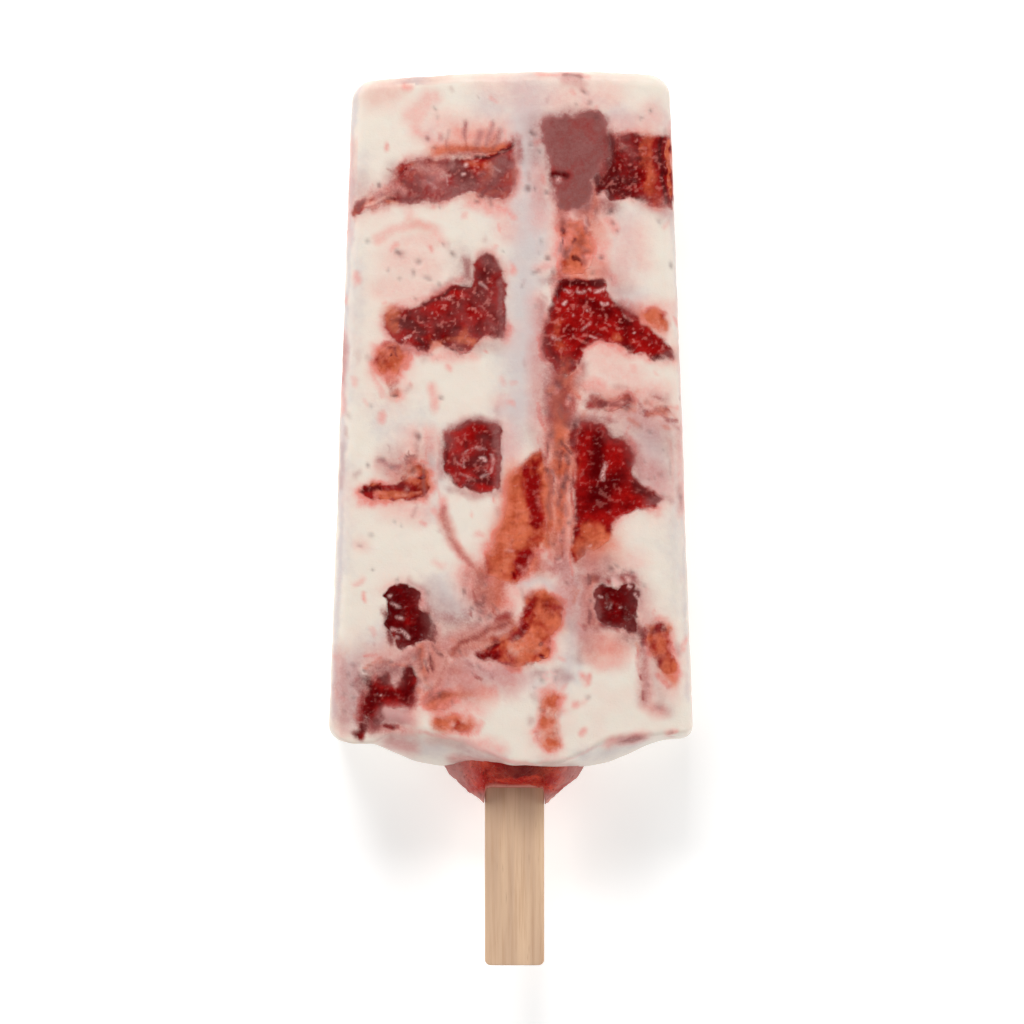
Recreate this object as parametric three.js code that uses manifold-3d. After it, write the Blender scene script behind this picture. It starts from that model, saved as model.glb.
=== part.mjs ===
// A strawberry and yoghurt ice pop, frozen in a tapered mould round a flat wooden stick.
// Millimetres. The pop lies on its flat back, with its tip toward +Y and its front face up.
import * as THREE from 'three';
import Module from 'manifold-3d';

const wasm = await Module();
wasm.setup();

// Driving dimensions, in the mould's own frame: +Y to the tip, the mid-plane at z = 0.
const tipY = 75;
const mouthY = -36.8;
const mouthHalfWidth = 30.45;
const mouthHalfThickness = 12;
const draft = 0.0353;
const edgeRadius = 3.2;
const tipCornerRadius = 3.6;
const tipEdgeRadius = 2.2;
const mouthCornerRadius = 2;
const lipRadius = 0.8;
const crownX = 8;
const crownDrop = 0.0012;
const domeHeight = 4.9;
const gap = 0.3;
const recess = 0.15;

const stickLength = 114;
const stickWidth = 10;
const stickThickness = 2;
const stickCorner = 1;
const stickX = 0.6;
const stickEndY = -75;

const collarHalfWidth = 12.5;
const collarHalfDepth = 9.6;
const collarFloorY = -37.6;
const collarSlope = 0.86;
const collarRim = 0.3;

// Finishes
const finishes = {
  yoghurt: { color: 0xead9cd, roughness: 0.55 },
  strawberry: { color: 0x9c1d1c, roughness: 0.35 },
  pulp: { color: 0x98372f, roughness: 0.6 },
  wood: { color: 0xceaa8c, roughness: 0.75 },
};

// A smooth swelling of height 1 round a centre, with a flatter top for a higher power.
function swell(x, centre, reach, power) {
  return Math.exp(-(Math.abs((x - centre) / reach) ** power));
}

// How far the frozen end stands out beyond the mouth of the mould: a dome between two lips.
function endReach(x, z) {
  const crest = domeHeight * swell(x, 0.3, 21.2, 5.6);
  const frontLip = -1 + 4.9 * swell(x, 4, 10, 3);
  const backLip = -0.8 + 0.9 * swell(x, -6, 12, 2);
  const lip = z > 0 ? frontLip : backLip;
  const across = Math.min(1, Math.abs(z) / mouthHalfThickness) ** 2;
  return crest + (lip - crest) * across;
}

// The mould narrows and thins from its mouth to its tip.
function taper([x, y, z]) {
  const narrowing = draft * (y - mouthY);
  const narrow = 1 - narrowing / mouthHalfWidth;
  const thin = 1 - narrowing / mouthHalfThickness;
  return [x * narrow, y, z * thin];
}

function halfThickness(y) {
  return mouthHalfThickness - draft * (y - mouthY);
}

// Points round a rectangle with round corners, each with the direction that it faces.
function sectionRing(halfWidth, halfDepth) {
  const cornerSteps = 3;
  const faceSteps = 12;
  const ring = [];
  for (let corner = 0; corner < 4; corner++) {
    const side = corner === 0 || corner === 3 ? 1 : -1;
    const face = corner < 2 ? 1 : -1;
    for (let step = 0; step <= cornerSteps; step++) {
      const angle = (corner + step / cornerSteps) * Math.PI / 2;
      const facing = [Math.cos(angle), Math.sin(angle)];
      const x = side * (halfWidth - edgeRadius) + edgeRadius * facing[0];
      const z = face * (halfDepth - edgeRadius) + edgeRadius * facing[1];
      ring.push({ x, z, facing });
    }
    if (corner % 2 === 0) {
      const flat = 2 * (halfWidth - edgeRadius);
      for (let step = 1; step < faceSteps; step++) {
        const x = face * (flat * (0.5 - step / faceSteps));
        ring.push({ x, z: face * halfDepth, facing: [0, face] });
      }
    }
  }
  return ring;
}

// A closed solid from rings of equal length, closed by one point at each end.
function loftSolid(first, rings, last) {
  const count = rings[0].length;
  const vertices = [first, ...rings.flat(), last];
  const end = vertices.length - 1;
  const faces = [];
  for (let i = 0; i < count; i++) {
    const next = (i + 1) % count;
    faces.push([0, 1 + next, 1 + i]);
    for (let row = 0; row < rings.length - 1; row++) {
      const near = 1 + row * count;
      const far = near + count;
      faces.push([near + i, near + next, far + next]);
      faces.push([near + i, far + next, far + i]);
    }
    const base = end - count;
    faces.push([base + i, base + next, end]);
  }
  const mesh = new wasm.Mesh({
    numProp: 3,
    vertProperties: new Float32Array(vertices.flat()),
    triVerts: new Uint32Array(faces.flat()),
  });
  return new wasm.Manifold(mesh);
}

// The moulded slab, or the same form held in from its surface.
function slab(inset) {
  const halfWidth = mouthHalfWidth - inset;
  const halfDepth = mouthHalfThickness - inset;
  const tipHeight = (x) => tipY - inset - crownDrop * (x - crownX) ** 2;
  const endHeight = (x, z) => mouthY + inset - endReach(x, z);

  function rimRing(angle, sideRadius, faceRadius, height, direction) {
    const turn = THREE.MathUtils.degToRad(angle);
    const pull = 1 - Math.cos(turn);
    const ring = sectionRing(halfWidth - sideRadius * pull, halfDepth - faceRadius * pull);
    return ring.map(({ x, z, facing }) => {
      const radius = sideRadius * facing[0] ** 2 + faceRadius * facing[1] ** 2;
      const drop = radius * (1 - Math.sin(turn));
      return taper([x, height(x, z) + direction * drop, z]);
    });
  }

  function capRing(scale, sideRadius, faceRadius, height) {
    const ring = sectionRing(halfWidth - sideRadius, halfDepth - faceRadius);
    return ring.map(({ x, z }) => taper([x * scale, height(x * scale, z * scale), z * scale]));
  }

  const tipRim = (angle) => rimRing(angle, tipCornerRadius, tipEdgeRadius, tipHeight, -1);
  const mouthRim = (angle) => rimRing(angle, mouthCornerRadius, lipRadius, endHeight, 1);
  const tipCap = (scale) => capRing(scale, tipCornerRadius, tipEdgeRadius, tipHeight);
  const mouthCap = (scale) => capRing(scale, mouthCornerRadius, lipRadius, endHeight);
  const rings = [
    tipCap(0.5), tipRim(90), tipRim(60), tipRim(30), tipRim(0),
    mouthRim(0), mouthRim(45), mouthRim(90), mouthCap(0.85), mouthCap(0.65), mouthCap(0.4),
  ];
  return loftSolid([0, tipHeight(0), 0], rings, [0, endHeight(0, 0), 0]);
}

function solidFrom(geometry) {
  const place = geometry.getAttribute('position');
  const known = new Map();
  const vertices = [];
  const faces = [];
  for (let i = 0; i < place.count; i++) {
    const point = [place.getX(i), place.getY(i), place.getZ(i)];
    const key = point.map((value) => value.toFixed(4)).join();
    if (!known.has(key)) {
      known.set(key, vertices.length);
      vertices.push(point);
    }
    faces.push(known.get(key));
  }
  const mesh = new wasm.Mesh({
    numProp: 3,
    vertProperties: new Float32Array(vertices.flat()),
    triVerts: new Uint32Array(faces),
  });
  return new wasm.Manifold(mesh);
}

function geometryFrom(solid) {
  const mesh = solid.getMesh();
  const geometry = new THREE.BufferGeometry();
  geometry.setAttribute('position', new THREE.BufferAttribute(mesh.vertProperties, 3));
  geometry.setIndex(new THREE.BufferAttribute(mesh.triVerts, 1));
  geometry.computeVertexNormals();
  return geometry;
}

// Each face of the pop has a drawing plane: its third axis points out of the pop.
const axisX = new THREE.Vector3(1, 0, 0);
const axisY = new THREE.Vector3(0, 1, 0);
const axisZ = new THREE.Vector3(0, 0, 1);
const planes = {
  front: new THREE.Matrix4(),
  back: new THREE.Matrix4().makeBasis(axisX.clone().negate(), axisY, axisZ.clone().negate()),
  left: new THREE.Matrix4().makeBasis(axisZ, axisY, axisX.clone().negate()),
  right: new THREE.Matrix4().makeBasis(axisZ.clone().negate(), axisY, axisX),
  tip: new THREE.Matrix4().makeBasis(axisX, axisZ.clone().negate(), axisY),
};

// A smooth closed line through the corner points, moved outward by a margin.
function smoothOutline(corners, margin) {
  const pointSpacing = 1.6;
  const fewestPoints = 12;
  const path = corners.map(([x, y]) => new THREE.Vector3(x, y, 0));
  const curve = new THREE.CatmullRomCurve3(path, true);
  const count = Math.max(fewestPoints, Math.round(curve.getLength() / pointSpacing));
  const points = curve.getSpacedPoints(count).slice(0, count).map((p) => new THREE.Vector2(p.x, p.y));
  const winding = THREE.ShapeUtils.area(points) > 0 ? 1 : -1;
  return points.map((point, i) => {
    const before = points[(i + count - 1) % count];
    const after = points[(i + 1) % count];
    const along = after.clone().sub(before).normalize();
    const outward = new THREE.Vector2(along.y, -along.x).multiplyScalar(winding * margin);
    return point.clone().add(outward);
  });
}

// A straight plug of the outline, from a floor level out past the surface of the pop.
function plug(piece, margin) {
  const outOfPop = 40;
  const shape = new THREE.Shape(smoothOutline(piece.outline, margin));
  const geometry = new THREE.ExtrudeGeometry(shape, { depth: outOfPop, bevelEnabled: false });
  geometry.translate(0, 0, piece.floor - margin);
  geometry.applyMatrix4(planes[piece.face]);
  return solidFrom(geometry);
}

// A cut of berry as a rounded lozenge: where it lies, how long and wide it is, and its turn.
function lozenge(x, y, length, width, turnDegrees) {
  const turn = THREE.MathUtils.degToRad(turnDegrees);
  const corners = [[0.5, 0.1], [0.2, 0.46], [-0.22, 0.5], [-0.5, 0.05], [-0.3, -0.42], [0.25, -0.5]];
  return corners.map(([along, across]) => {
    const u = along * length;
    const v = across * width;
    return [x + u * Math.cos(turn) - v * Math.sin(turn), y + u * Math.sin(turn) + v * Math.cos(turn)];
  });
}

// The same cut shape used again elsewhere: turned about its middle, then moved.
function moved(corners, x, y, turnDegrees) {
  const turn = THREE.MathUtils.degToRad(turnDegrees);
  const middleX = corners.reduce((sum, corner) => sum + corner[0], 0) / corners.length;
  const middleY = corners.reduce((sum, corner) => sum + corner[1], 0) / corners.length;
  return corners.map(([cornerX, cornerY]) => {
    const u = cornerX - middleX;
    const v = cornerY - middleY;
    return [x + u * Math.cos(turn) - v * Math.sin(turn), y + u * Math.sin(turn) + v * Math.cos(turn)];
  });
}

// Cut berries that lie against the front of the mould: x across, y toward the tip.
const frontCuts = {
  slice: [
    [-26, 51.4], [-20, 52.9], [-13, 53.3], [-6, 55], [-1.5, 53.7], [0.4, 56], [0.5, 60.5],
    [0.8, 63.7], [-1.5, 61.3], [-7, 60.6], [-13, 60.2], [-19, 58.7], [-20.6, 55.3], [-26, 52.4],
  ],
  slab: [
    [5.2, 65.6], [7.2, 67.1], [12.5, 67.6], [15, 67.8], [16.1, 65], [16.2, 61.2], [15.1, 58.4],
    [13.3, 56.4], [13, 53.8], [10.4, 51.8], [8.3, 51.6], [7.4, 54], [6.4, 58], [6.2, 62],
  ],
  corner: [
    [14.2, 55], [14.8, 56.9], [16.6, 58.6], [17.2, 61], [17.5, 63.6], [19.5, 64.5], [25, 64.2],
    [29, 64], [29, 52.4], [26, 52.3], [22, 53.3], [18.4, 54.4], [17.2, 53.2], [16, 54.8],
  ],
  fan: [
    [-3.4, 43.9], [-1.9, 42.6], [-1.3, 39.5], [-1.2, 34], [-1.5, 30.5], [-4.6, 30.7], [-7, 28.3],
    [-9.8, 28.4], [-12.8, 29.8], [-14.4, 28.4], [-17, 29.3], [-19.9, 30.9], [-21.1, 33.6],
    [-19.5, 34.9], [-16, 35.4], [-12.5, 37.4], [-8.8, 39.3], [-7.2, 38.9], [-6.2, 40.8], [-5.3, 43.2],
  ],
  fanTail: [
    [-20.6, 29], [-22, 28.1], [-22.2, 25.6], [-20.6, 22.8], [-19.9, 20.3], [-19.1, 20.8],
    [-19.3, 24.3], [-17.2, 27], [-17.6, 28.1], [-19.3, 28.7],
  ],
  wing: [
    [8.2, 39.8], [12, 40], [15.9, 39.9], [16.4, 37.9], [20.3, 33.2], [25.6, 29.9], [27.1, 27.3],
    [23, 27.3], [20, 28], [17, 29.5], [13.8, 29.9], [12, 28.6], [11.5, 26], [10, 24.5], [7.8, 25.2],
    [5.8, 28.4], [6.1, 31.5], [7.1, 35],
  ],
  wingSpot: [[22.6, 34.2], [24.3, 35], [25.4, 33.6], [25.8, 32], [25, 31.9], [23.4, 33]],
  ember: [
    [8.6, 41.4], [8.7, 44.5], [9.6, 47], [8.6, 48.8], [9.7, 49.9], [11.5, 49], [13.2, 46.6],
    [13.8, 43.8], [12.6, 41.5],
  ],
  heart: [
    [-9.8, 15], [-6.5, 16.3], [-4.6, 16.8], [-2.3, 16], [-2, 11], [-2.1, 5.6], [-4.6, 4.6],
    [-7, 5], [-9.5, 6.4], [-11, 9], [-11, 12.5],
  ],
  sliver: [
    [-25.2, 4.7], [-23.8, 5.6], [-18.5, 5.5], [-17.5, 8], [-15.6, 9.5], [-14.2, 8.3], [-14.3, 4.4],
    [-17, 3.6], [-23.8, 3.7],
  ],
  spade: [
    [11, 15.3], [13.2, 16.6], [15.8, 15.8], [16.8, 14], [18.8, 13.3], [20.4, 11.8], [20.1, 8.2],
    [21.8, 5.7], [25, 3.7], [24.6, 2.4], [20.5, 1.8], [17.2, 0.2], [16, -3.2], [14.2, -5.2],
    [12.3, -4.3], [11.5, -6.6], [10.5, -6.6], [10.7, -2], [10.9, 4], [10.8, 10],
  ],
  flame: [
    [4.9, 11.3], [2.2, 9.6], [-0.2, 6.2], [-0.6, 1], [-2.4, -4], [-4.5, -8.2], [-2, -9.4],
    [0, -10.2], [3.2, -8.2], [3.6, -5.2], [5.1, -4.2], [5.6, 1], [6, 5], [5.7, 9.5],
  ],
  bean: [
    [-18.3, -10.8], [-17, -11.2], [-15.5, -12.7], [-15, -15.3], [-13, -16.7], [-12.2, -18.7],
    [-12.4, -20.5], [-14.2, -19.8], [-17, -20.7], [-18.9, -21], [-19.6, -19], [-21, -17.7],
    [-20.1, -15.5], [-20.7, -12.5],
  ],
  tuft: [
    [14.2, -11.6], [15.2, -10.2], [16.6, -11.5], [17.8, -11.6], [19.3, -10.3], [21.6, -11.7],
    [21, -14.5], [20.2, -16.6], [21.5, -18.6], [20.5, -19.2], [18.8, -17.4], [15.8, -17.5],
    [14.1, -15.8], [14.7, -13.6],
  ],
  hook: [
    [-20.5, -25.7], [-22.8, -27], [-24.2, -29.8], [-24.6, -32], [-23.4, -33.6], [-21.3, -33.2],
    [-21.4, -31.7], [-19.5, -30.2], [-17.8, -30.9], [-16, -29], [-15.9, -27], [-17, -24.6],
    [-18.2, -26.4], [-19.3, -27.3],
  ],
  comma: [
    [2.8, -13.2], [4.6, -12.3], [6.4, -12.3], [7.9, -13.5], [8.3, -15.4], [7.8, -17.6],
    [6.3, -18.8], [6, -21], [5.9, -23], [3.8, -23.6], [0.3, -24.4], [-2.2, -23.5], [-5.4, -23.5],
    [-4.6, -22], [-2.9, -20.6], [-0.6, -18.9], [1.2, -17.6], [2.2, -15.4],
  ],
  drip: [
    [23, -18.1], [24.6, -17.4], [26.3, -18.4], [26, -20.5], [26.6, -23], [27.3, -25.8],
    [26.2, -25.9], [24.4, -23.7], [23.4, -21.4], [22.8, -19.6],
  ],
  trickle: [
    [5.6, -29], [6.8, -28.4], [7.9, -29.2], [7.5, -31], [6.7, -33], [7.6, -35.4], [7.9, -37.2],
    [6.5, -37.7], [4.8, -36.2], [5.2, -33],
  ],
  squiggle: [
    [13.3, 20.8], [14.6, 20.6], [16.2, 19.4], [18.2, 20.3], [20, 20.8], [19.9, 19.8],
    [18.2, 18.9], [16.4, 18.1], [14.4, 19.4],
  ],
  upperFleck: lozenge(-11.8, -29.8, 5.4, 1.8, 17),
  lowerFleck: lozenge(-9.8, -33.9, 6.4, 1.8, -6),
};

// Cuts against the back: the same kinds of shape, seen from the back, so x runs the other way.
const backCuts = {
  backFan: moved(frontCuts.fan, -9, 54, 196),
  backSpade: moved(frontCuts.spade, 14, 38, 78),
  backHeart: moved(frontCuts.heart, -15, 21, 35),
  backComma: moved(frontCuts.comma, 9, 12, 160),
  backWing: moved(frontCuts.wing, -9, -6, 150),
  backBean: moved(frontCuts.bean, 18, -14, 62),
  backTuft: moved(frontCuts.tuft, -3, -26, 115),
  backDrip: moved(frontCuts.drip, -22, 43, 20),
};

// Cuts that reach a side or the tip, drawn on that face.
const edgeCuts = [
  { name: 'leftUpper', face: 'left', outline: lozenge(1.2, 25.4, 6.4, 4.6, 100), floor: 24.8 },
  { name: 'leftLower', face: 'left', outline: lozenge(0.6, 6.8, 7.8, 4.2, 84), floor: 25.2 },
  { name: 'right', face: 'right', outline: lozenge(-1.4, 4, 5.2, 3.6, 75), floor: 25.4 },
  { name: 'tip', face: 'tip', outline: lozenge(10.2, -3.4, 5.8, 2.6, 4), floor: 71.6 },
];

// A thin piece of fruit sits less deep than a large one.
function cutDepth(corners) {
  const area = Math.abs(THREE.ShapeUtils.area(corners.map(([x, y]) => new THREE.Vector2(x, y))));
  return THREE.MathUtils.clamp(Math.sqrt(area) * 0.55, 1.8, 4.8);
}

function faceCuts(cuts, face) {
  return Object.entries(cuts).map(([name, outline]) => {
    const lowest = Math.min(...outline.map((corner) => corner[1]));
    const highest = Math.max(...outline.map((corner) => corner[1]));
    const level = halfThickness((lowest + highest) / 2);
    return { name, face, outline, floor: level - cutDepth(outline) };
  });
}

// A flat stick with small round corners, and the slot it freezes into.
function stickSolid(margin) {
  const halfWidth = stickWidth / 2 + margin;
  const thickness = stickThickness + 2 * margin;
  const bottom = stickEndY - margin;
  const top = stickEndY + stickLength + margin;
  const left = stickX - halfWidth;
  const right = stickX + halfWidth;
  const quarter = Math.PI / 2;
  const shape = new THREE.Shape();
  shape.absarc(right - stickCorner, top - stickCorner, stickCorner, 0, quarter);
  shape.absarc(left + stickCorner, top - stickCorner, stickCorner, quarter, 2 * quarter);
  shape.absarc(left + stickCorner, bottom + stickCorner, stickCorner, 2 * quarter, 3 * quarter);
  shape.absarc(right - stickCorner, bottom + stickCorner, stickCorner, 3 * quarter, 4 * quarter);
  const settings = { depth: thickness, bevelEnabled: false, curveSegments: 4 };
  const geometry = new THREE.ExtrudeGeometry(shape, settings);
  geometry.translate(0, 0, -thickness / 2);
  return solidFrom(geometry);
}

// How thick the crushed fruit stands over the frozen end: a low cone that climbs the stick's edges.
function collarReach(x, z) {
  const aside = Math.abs(x - stickX);
  const away = collarHalfWidth * Math.hypot(aside / collarHalfWidth, z / collarHalfDepth);
  const cone = collarRim + collarSlope * (collarHalfWidth - away);
  const climb = THREE.MathUtils.smoothstep(aside, 3.4, 5.2);
  const shoulder = 3.4 - 0.3 * Math.max(0, Math.abs(z) - 1) + 3.2 * climb;
  return Math.min(cone, shoulder);
}

// The mound of crushed fruit round the stick, sunk into the frozen end.
function collarSolid(margin) {
  const steps = 36;
  const floorY = collarFloorY + margin;
  const topY = (x, z) => mouthY - endReach(x, z) - collarReach(x, z);
  function ring(scale, height) {
    return Array.from({ length: steps }, (_, i) => {
      const angle = i / steps * 2 * Math.PI;
      const x = stickX + (collarHalfWidth + margin) * scale * Math.cos(angle);
      const z = (collarHalfDepth + margin) * scale * Math.sin(angle);
      return [x, height(x, z), z];
    });
  }
  const scales = [1, 0.93, 0.82, 0.7, 0.58, 0.46, 0.34, 0.2];
  const rings = [ring(1, () => floorY), ...scales.map((scale) => ring(scale, topY))];
  return loftSolid([stickX, floorY, 0], rings, [stickX, topY(stickX, 0), 0]);
}

// The space that the mound takes out of the frozen end, open to the outside.
function collarPocket() {
  const outside = mouthY - 20;
  const steps = 36;
  const oval = new THREE.EllipseCurve(stickX, 0, collarHalfWidth + gap, collarHalfDepth + gap);
  const shape = new THREE.Shape(oval.getPoints(steps).slice(0, steps));
  const depth = collarFloorY + gap - outside;
  const geometry = new THREE.ExtrudeGeometry(shape, { depth, bevelEnabled: false });
  geometry.rotateX(Math.PI / 2);
  geometry.translate(0, collarFloorY + gap, 0);
  return solidFrom(geometry);
}

const cuts = [...faceCuts(frontCuts, 'front'), ...faceCuts(backCuts, 'back'), ...edgeCuts];
const stickSlot = stickSolid(gap);
const skin = slab(recess);

let yoghurt = slab(0).subtract(stickSlot).subtract(collarPocket());
for (const piece of cuts) {
  yoghurt = yoghurt.subtract(plug(piece, gap));
}
const collar = collarSolid(0).subtract(stickSlot);

const pop = new THREE.Group();
function addPiece(name, solid, finish) {
  const mesh = new THREE.Mesh(geometryFrom(solid), new THREE.MeshStandardMaterial(finishes[finish]));
  mesh.name = name;
  pop.add(mesh);
}

addPiece('yoghurt', yoghurt, 'yoghurt');
addPiece('stick', stickSolid(0), 'wood');
addPiece('fruit_collar', collar, 'pulp');
for (const piece of cuts) {
  addPiece(`berry_${piece.name}`, plug(piece, 0).intersect(skin), 'strawberry');
}

// Laid on its back: the draft is turned out of the back face, which then rests level at z = 0.
pop.rotation.x = -Math.atan(draft);
const model = new THREE.Group();
model.add(pop);
const reach = new THREE.Box3().setFromObject(model, true);
const middle = reach.getCenter(new THREE.Vector3());
pop.position.set(-middle.x, -middle.y, -reach.min.z);
pop.updateMatrixWorld(true);

export default model;
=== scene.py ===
# %% [markdown]
# # A strawberry and yoghurt ice pop
#
# Yoghurt and cut strawberries are poured into a tapered mould, a flat stick is pushed in, and all
# of it freezes. The pop lies on its back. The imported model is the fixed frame: it gives the sizes
# and says where each cut berry lies. Everything here is a finer piece that takes a solid's place.

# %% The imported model
import math
from collections import namedtuple

import bmesh
import bpy
import numpy as np
from mathutils import Matrix, Vector


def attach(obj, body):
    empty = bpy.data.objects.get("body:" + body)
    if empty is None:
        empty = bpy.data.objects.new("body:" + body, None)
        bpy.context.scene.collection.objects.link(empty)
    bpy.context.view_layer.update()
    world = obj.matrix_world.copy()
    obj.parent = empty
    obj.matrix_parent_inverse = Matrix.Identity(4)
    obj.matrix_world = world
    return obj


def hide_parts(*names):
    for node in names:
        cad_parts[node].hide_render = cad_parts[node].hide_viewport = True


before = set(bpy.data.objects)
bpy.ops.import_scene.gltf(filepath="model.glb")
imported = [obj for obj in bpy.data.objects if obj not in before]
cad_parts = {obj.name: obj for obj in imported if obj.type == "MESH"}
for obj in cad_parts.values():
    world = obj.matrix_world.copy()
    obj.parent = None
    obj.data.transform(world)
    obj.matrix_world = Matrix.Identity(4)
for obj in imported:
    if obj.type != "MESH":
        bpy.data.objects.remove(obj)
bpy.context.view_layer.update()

print("nodes in the frame:", len(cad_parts))

# %% [markdown]
# ## The pop's own directions
#
# The mould is drawn with its mid-plane level, tip toward +Y, and the model lies tilted on its back
# by the mould's draft. Working in the mould's own millimetres keeps every later size readable, so
# one turn and one shift take a point from the mould to the world. The stick's middle, which is
# known in both, gives the shift.

# %% From the mould to the world
DRAFT = 0.0353
TIP_Y = 75.0
MOUTH_Y = -36.8
MOUTH_HALF_WIDTH = 30.45
MOUTH_HALF_THICKNESS = 12.0
EDGE_RADIUS = 3.2
STICK_MIDDLE = np.array([0.6, -18.0, 0.0])

tilt = np.array(Matrix.Rotation(-math.atan(DRAFT), 3, "X"))


def node_points(name):
    return np.array([v.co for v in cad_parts[name].data.vertices], float).reshape(-1, 3)


def box_middle(points):
    return (points.min(0) + points.max(0)) / 2


shift = box_middle(node_points("stick") @ tilt * 1000) - STICK_MIDDLE


def to_world(points):
    """Mould millimetres to world metres."""
    return (points + shift) @ tilt.T / 1000


def to_mould(points):
    """World metres to mould millimetres."""
    return points @ tilt * 1000 - shift


print("shift of the mould, mm:", shift.round(3))

# %% [markdown]
# ## Camera, light and floor
#
# The camera looks straight at the face of the pop from far away, so its sides hardly show. Soft
# light comes from all round with a large lamp beyond the tip, as beside a window, on a white floor.

# %% Camera, light and floor
# A picture 1024 points wide shows the pop at 6 points a millimetre.
VIEW_MM = 1024 / 6.0
CAMERA_AWAY = 900.0
FACE_LEVEL = 10.0
VIEW_MIDDLE = np.array([0.17, 1.33, FACE_LEVEL])
SENSOR_MM = 36.0


def aim(thing, where, target):
    """Puts a lamp or camera at a mould point and turns it to look at another, tip side up."""
    place, goal = (Vector(to_world(np.array(p))) for p in (where, target))
    out = (place - goal).normalized()
    up = Vector(tilt @ np.array([0.0, 1.0, 0.0]))
    side = up.cross(out).normalized()
    turn = Matrix((side, out.cross(side), out)).transposed().to_4x4()
    thing.matrix_world = Matrix.Translation(place) @ turn


def add_object(name, data):
    made = bpy.data.objects.new(name, data)
    bpy.context.scene.collection.objects.link(made)
    return made


camera = add_object("camera", bpy.data.cameras.new("camera"))
camera.data.sensor_width = SENSOR_MM
camera.data.lens = SENSOR_MM * CAMERA_AWAY / VIEW_MM
camera.data.clip_end = 10
aim(camera, VIEW_MIDDLE + [0, 0, CAMERA_AWAY], VIEW_MIDDLE)
bpy.context.scene.camera = camera


def softbox(name, where, size, watts):
    lamp = add_object(name, bpy.data.lights.new(name, "AREA"))
    lamp.data.shape = "RECTANGLE"
    lamp.data.size = size[0]
    lamp.data.size_y = size[1]
    lamp.data.energy = watts
    aim(lamp, where, (0, 0, 0))


softbox("lamp_beyond_tip", (-150, 660, 670), (0.45, 0.25), 4.7)
softbox("lamp_left", (-860, 120, 520), (0.3, 0.6), 2.85)
softbox("lamp_right", (860, 60, 520), (0.3, 0.6), 2.85)
softbox("lamp_by_stick", (100, -800, 480), (0.5, 0.3), 0.9)

world = bpy.data.worlds.new("studio")
bpy.context.scene.world = world
world.use_nodes = True
sky = world.node_tree
facing = sky.nodes.new("ShaderNodeSeparateXYZ")
glow = sky.nodes.new("ShaderNodeMapRange")
sky.links.new(sky.nodes.new("ShaderNodeTexCoord").outputs["Generated"], facing.inputs["Vector"])
sky.links.new(facing.outputs["Z"], glow.inputs["Value"])
for socket, value in {"From Min": 0.6, "From Max": 0.85, "To Min": 0.62, "To Max": 0.05}.items():
    glow.inputs[socket].default_value = value
sky.links.new(glow.outputs["Result"], sky.nodes["Background"].inputs["Strength"])
sky.nodes["Background"].inputs["Color"].default_value = (1, 1, 1, 1)
bpy.context.scene.view_settings.view_transform = "Standard"
print("lens, mm:", round(camera.data.lens, 1))

# %% [markdown]
# ## Smooth random values
#
# Fruit, froth and juice are irregular, yet the pop has to be the same each time. A hash of the
# whole-number corners round a point gives a random value at each, and a smooth blend between them
# gives a soft noise. Octaves of it at halved sizes make the natural mixture of large and small.

# %% Noise made from a hash
def hashed(cells, seed):
    """A random value from 0 to 1 for each row of whole numbers."""
    primes = np.array([73856093, 19349663, 83492791], np.uint64)[: cells.shape[-1]]
    mixed = (cells.astype(np.int64).astype(np.uint64) * primes).sum(-1) + np.uint64(seed * 2654435761)
    for shift_bits, prime in ((33, 0xFF51AFD7ED558CCD), (29, 0xC4CEB9FE1A85EC53), (32, 1)):
        mixed = (mixed ^ (mixed >> np.uint64(shift_bits))) * np.uint64(prime)
    return (mixed >> np.uint64(40)).astype(float) / 2.0**24


def soft_noise(points, size, seed, octaves=3):
    """Noise round 0, mostly from -0.5 to 0.5, whose largest lumps are about size mm."""
    total = np.zeros(points.shape[:-1])
    reach = 0.0
    for octave in range(octaves):
        spot = points / (size / 2**octave) + 17.3 * octave
        cell = np.floor(spot)
        inner = spot - cell
        inner = inner * inner * (3 - 2 * inner)
        value = np.zeros(points.shape[:-1])
        for corner in np.ndindex(*(2,) * points.shape[-1]):
            weight = np.prod(np.where(np.array(corner) == 1, inner, 1 - inner), -1)
            value += weight * hashed(cell + np.array(corner), seed + 31 * octave)
        total += (value - 0.5) / 2**octave
        reach += 1 / 2**octave
    return total / reach * 1.7


def ramp(value, low, high):
    """A smooth rise from 0 at low to 1 at high."""
    t = np.clip((value - low) / (high - low), 0, 1)
    return t * t * (3 - 2 * t)


def pits(points, spacing, seed):
    """How near each point is to the middle of its nearest random pit: 1 there, 0 a spacing away."""
    cell = np.floor(points / spacing)
    nearest = np.full(len(points), 9.0)
    for step in np.ndindex(3, 3):
        corner = cell + np.array(step) - 1
        middle = np.stack([hashed(corner, seed), hashed(corner, seed + 7)], -1)
        span = np.linalg.norm(points / spacing - corner - middle, axis=-1)
        nearest = np.minimum(nearest, span / (0.4 + hashed(corner, seed + 3)))
    return np.clip(1 - nearest, 0, 1)


print("noise at a point:", soft_noise(np.array([[1.0, 2.0, 3.0]]), 5, 1).round(3))

# %% [markdown]
# ## Where the cut berries lie
#
# Each berry solid is a plug with a flat floor, and the edge of that floor is the berry's outline.
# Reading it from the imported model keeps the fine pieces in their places. A signed distance to the
# outline, positive inside, then drives the pocket in the yoghurt and the rim of the fruit.

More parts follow.
